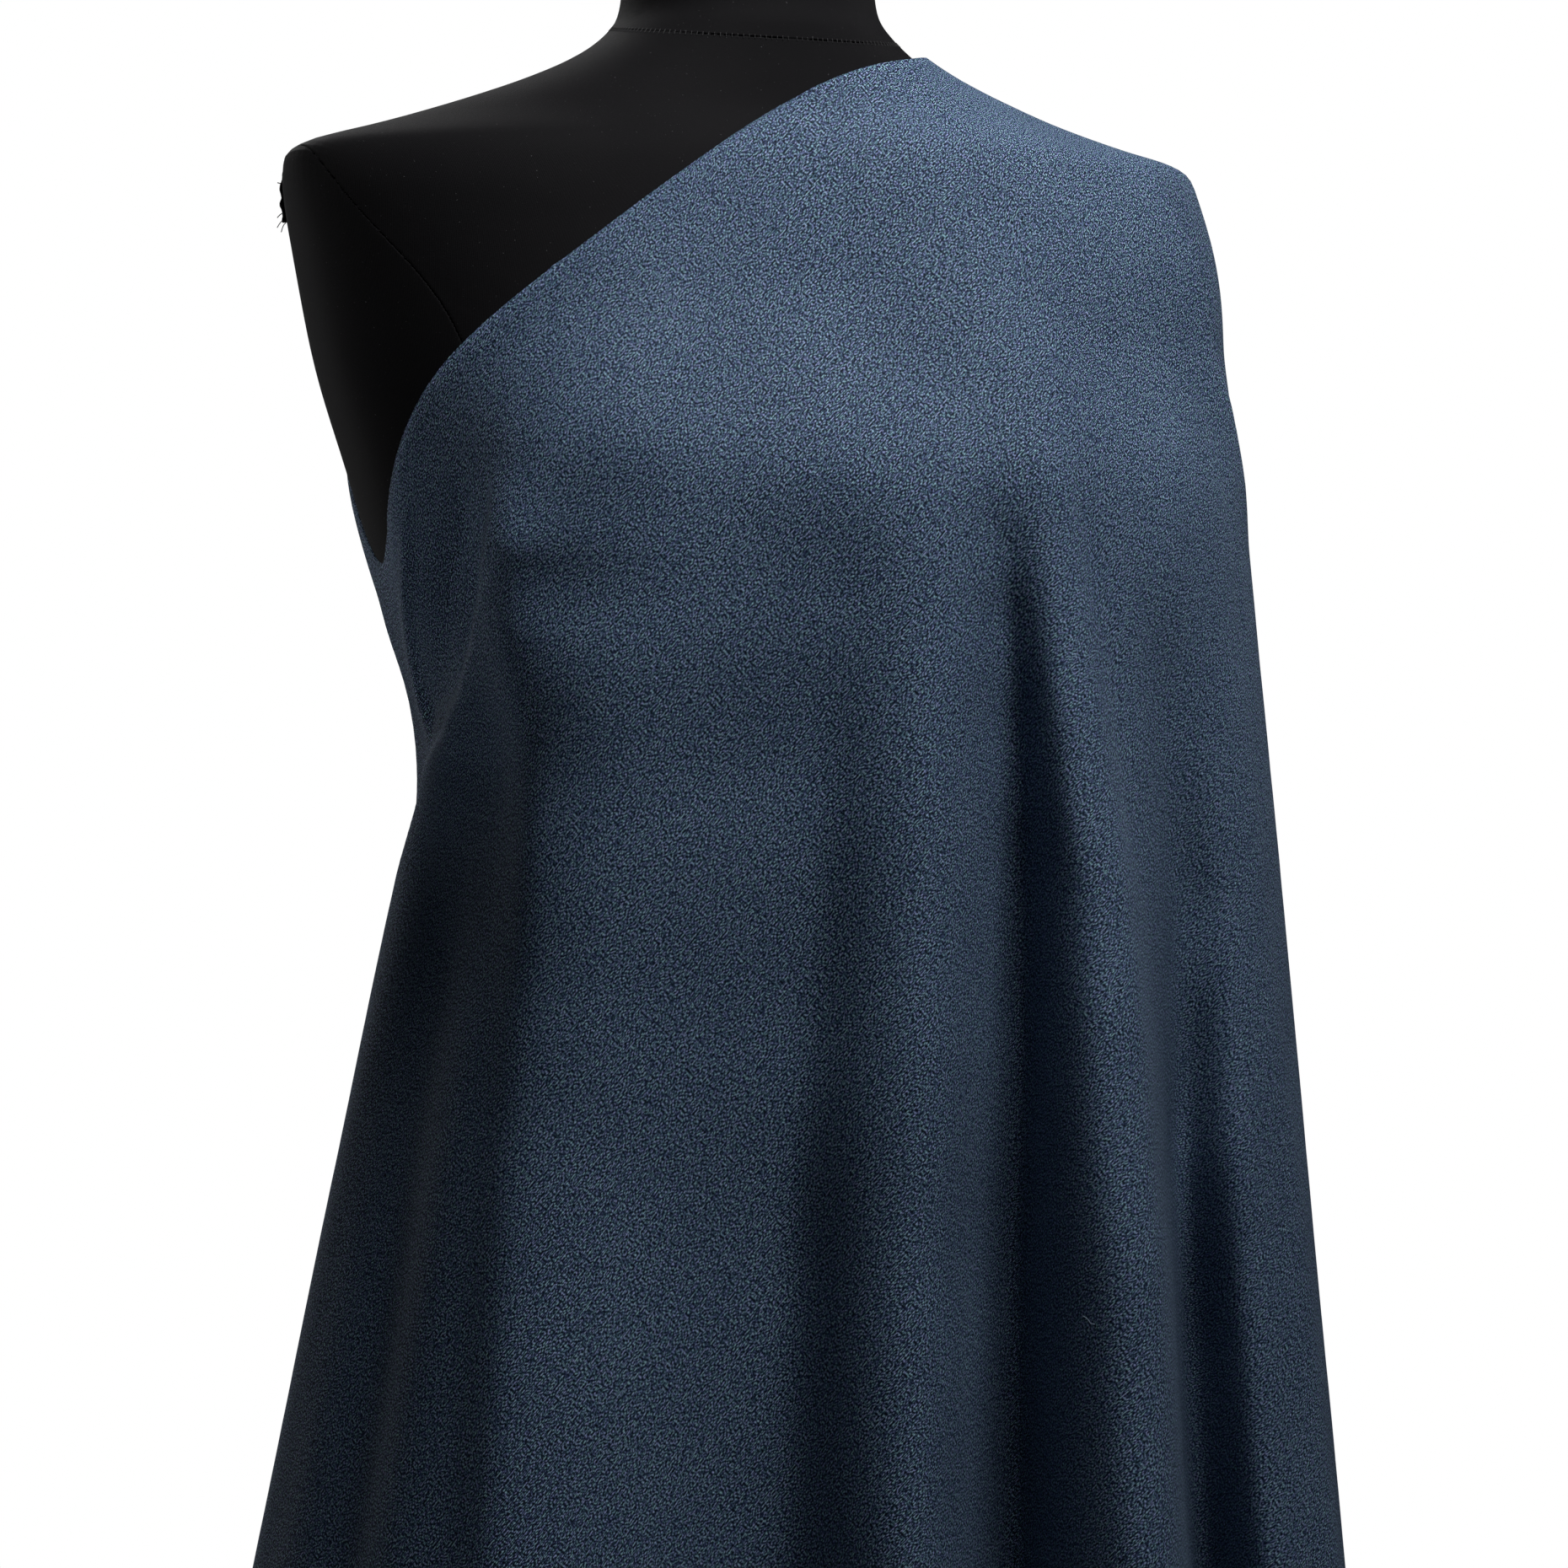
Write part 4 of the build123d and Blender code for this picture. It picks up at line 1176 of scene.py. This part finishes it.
def make_stitches(tree):
    """Small stitches that cross the neck seam. Its height and radius depend on each other, so
    a few rounds settle both."""
    bm = bmesh.new()
    for k in range(int(360 / STITCH_PITCH)):
        angle = k * STITCH_PITCH
        outward = direction(angle)
        points = []
        for rise in STITCH_RISES:
            radius = 0.06
            for _ in range(4):
                height = NECK_SEAM_HEIGHT + NECK_SEAM_SLOPE * outward.y * radius + rise
                radius = outer_radius(tree, angle, height)
            points.append(outward * (radius + STITCH_PROUD) + Vector((0, 0, height)))
        tube(bm, points, STITCH_RADIUS)
    place_small("neck_stitches", bm, thread("seam_thread", (0.020, 0.020, 0.022)))


def make_snag(points):
    """A pulled thread on the sharp ridge."""
    turn = math.radians(CAMERA_AZIMUTH)
    right = np.array([math.cos(turn), math.sin(turn), 0])
    back = np.array([math.sin(turn), -math.cos(turn), 0])
    flat = points.reshape(-1, 3)
    miss = np.abs(flat @ right - SNAG_SIDE) + np.abs(flat[:, 2] - SNAG_HEIGHT)
    near = flat[miss < 0.004]
    base = Vector(near[np.argmax(near @ back)])
    right, back = Vector(right), Vector(back)
    bm = bmesh.new()
    for start, length, rise in SNAG_THREADS:
        line = []
        for k in range(9):
            t = k / 8
            line.append(
                base + right * (start + length * t + 0.0006 * math.sin(9 * t))
                + Vector((0, 0, 0.003 + rise * t + 0.0006 * math.cos(7 * t)))
                + back * (0.0006 + 0.0016 * math.sin(math.pi * t))
            )
        tube(bm, line, SNAG_RADIUS)
    place_small("snag_thread", bm, thread("pulled_thread", (0.20, 0.27, 0.36)))


def make_pins(points):
    """Pearl-headed pins through the free end of the drape, high on the back."""
    angles = column_angles()
    column = int(np.argmin(np.abs(angles - PIN_ANGLE)))
    shafts, heads = bmesh.new(), bmesh.new()
    for height in PIN_HEIGHTS:
        row = int(np.argmin(np.abs(points[column, :, 2] - height)))
        middle = Vector(points[column, row])
        outward = Vector((middle.x, middle.y, 0)).normalized()
        across = Vector((0, 0, 1)).cross(outward)
        middle += outward * PIN_PROUD
        ends = [middle - across * PIN_REACH, middle, middle + across * PIN_REACH]
        tube(shafts, ends, PIN_RADIUS, 10)
        head = bmesh.ops.create_uvsphere(
            heads, u_segments=20, v_segments=14, radius=PIN_HEAD_RADIUS
        )
        bmesh.ops.translate(heads, verts=head["verts"], vec=ends[0])
    steel = place_small("pin_shafts", shafts,
                        metal("pin_steel", (0.70, 0.70, 0.70), 0.16))
    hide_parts("drape_pins")
    place_small("pin_heads", heads,
                moulded("pearl", (0.62, 0.60, 0.56), 0.18, 2000.0))


# ---------------------------------------------------------------- build it all

make_camera()
make_world()
make_floor()
for lamp in LIGHTS:
    area_light(**lamp)
dress_nodes()
form_tree = surface_tree(COVERS)
make_covers(form_tree)
drape_points = make_drape()
make_threads(form_tree)
make_stitches(form_tree)
make_snag(drape_points)
make_pins(drape_points)

SCENE.view_settings.view_transform = "Standard"
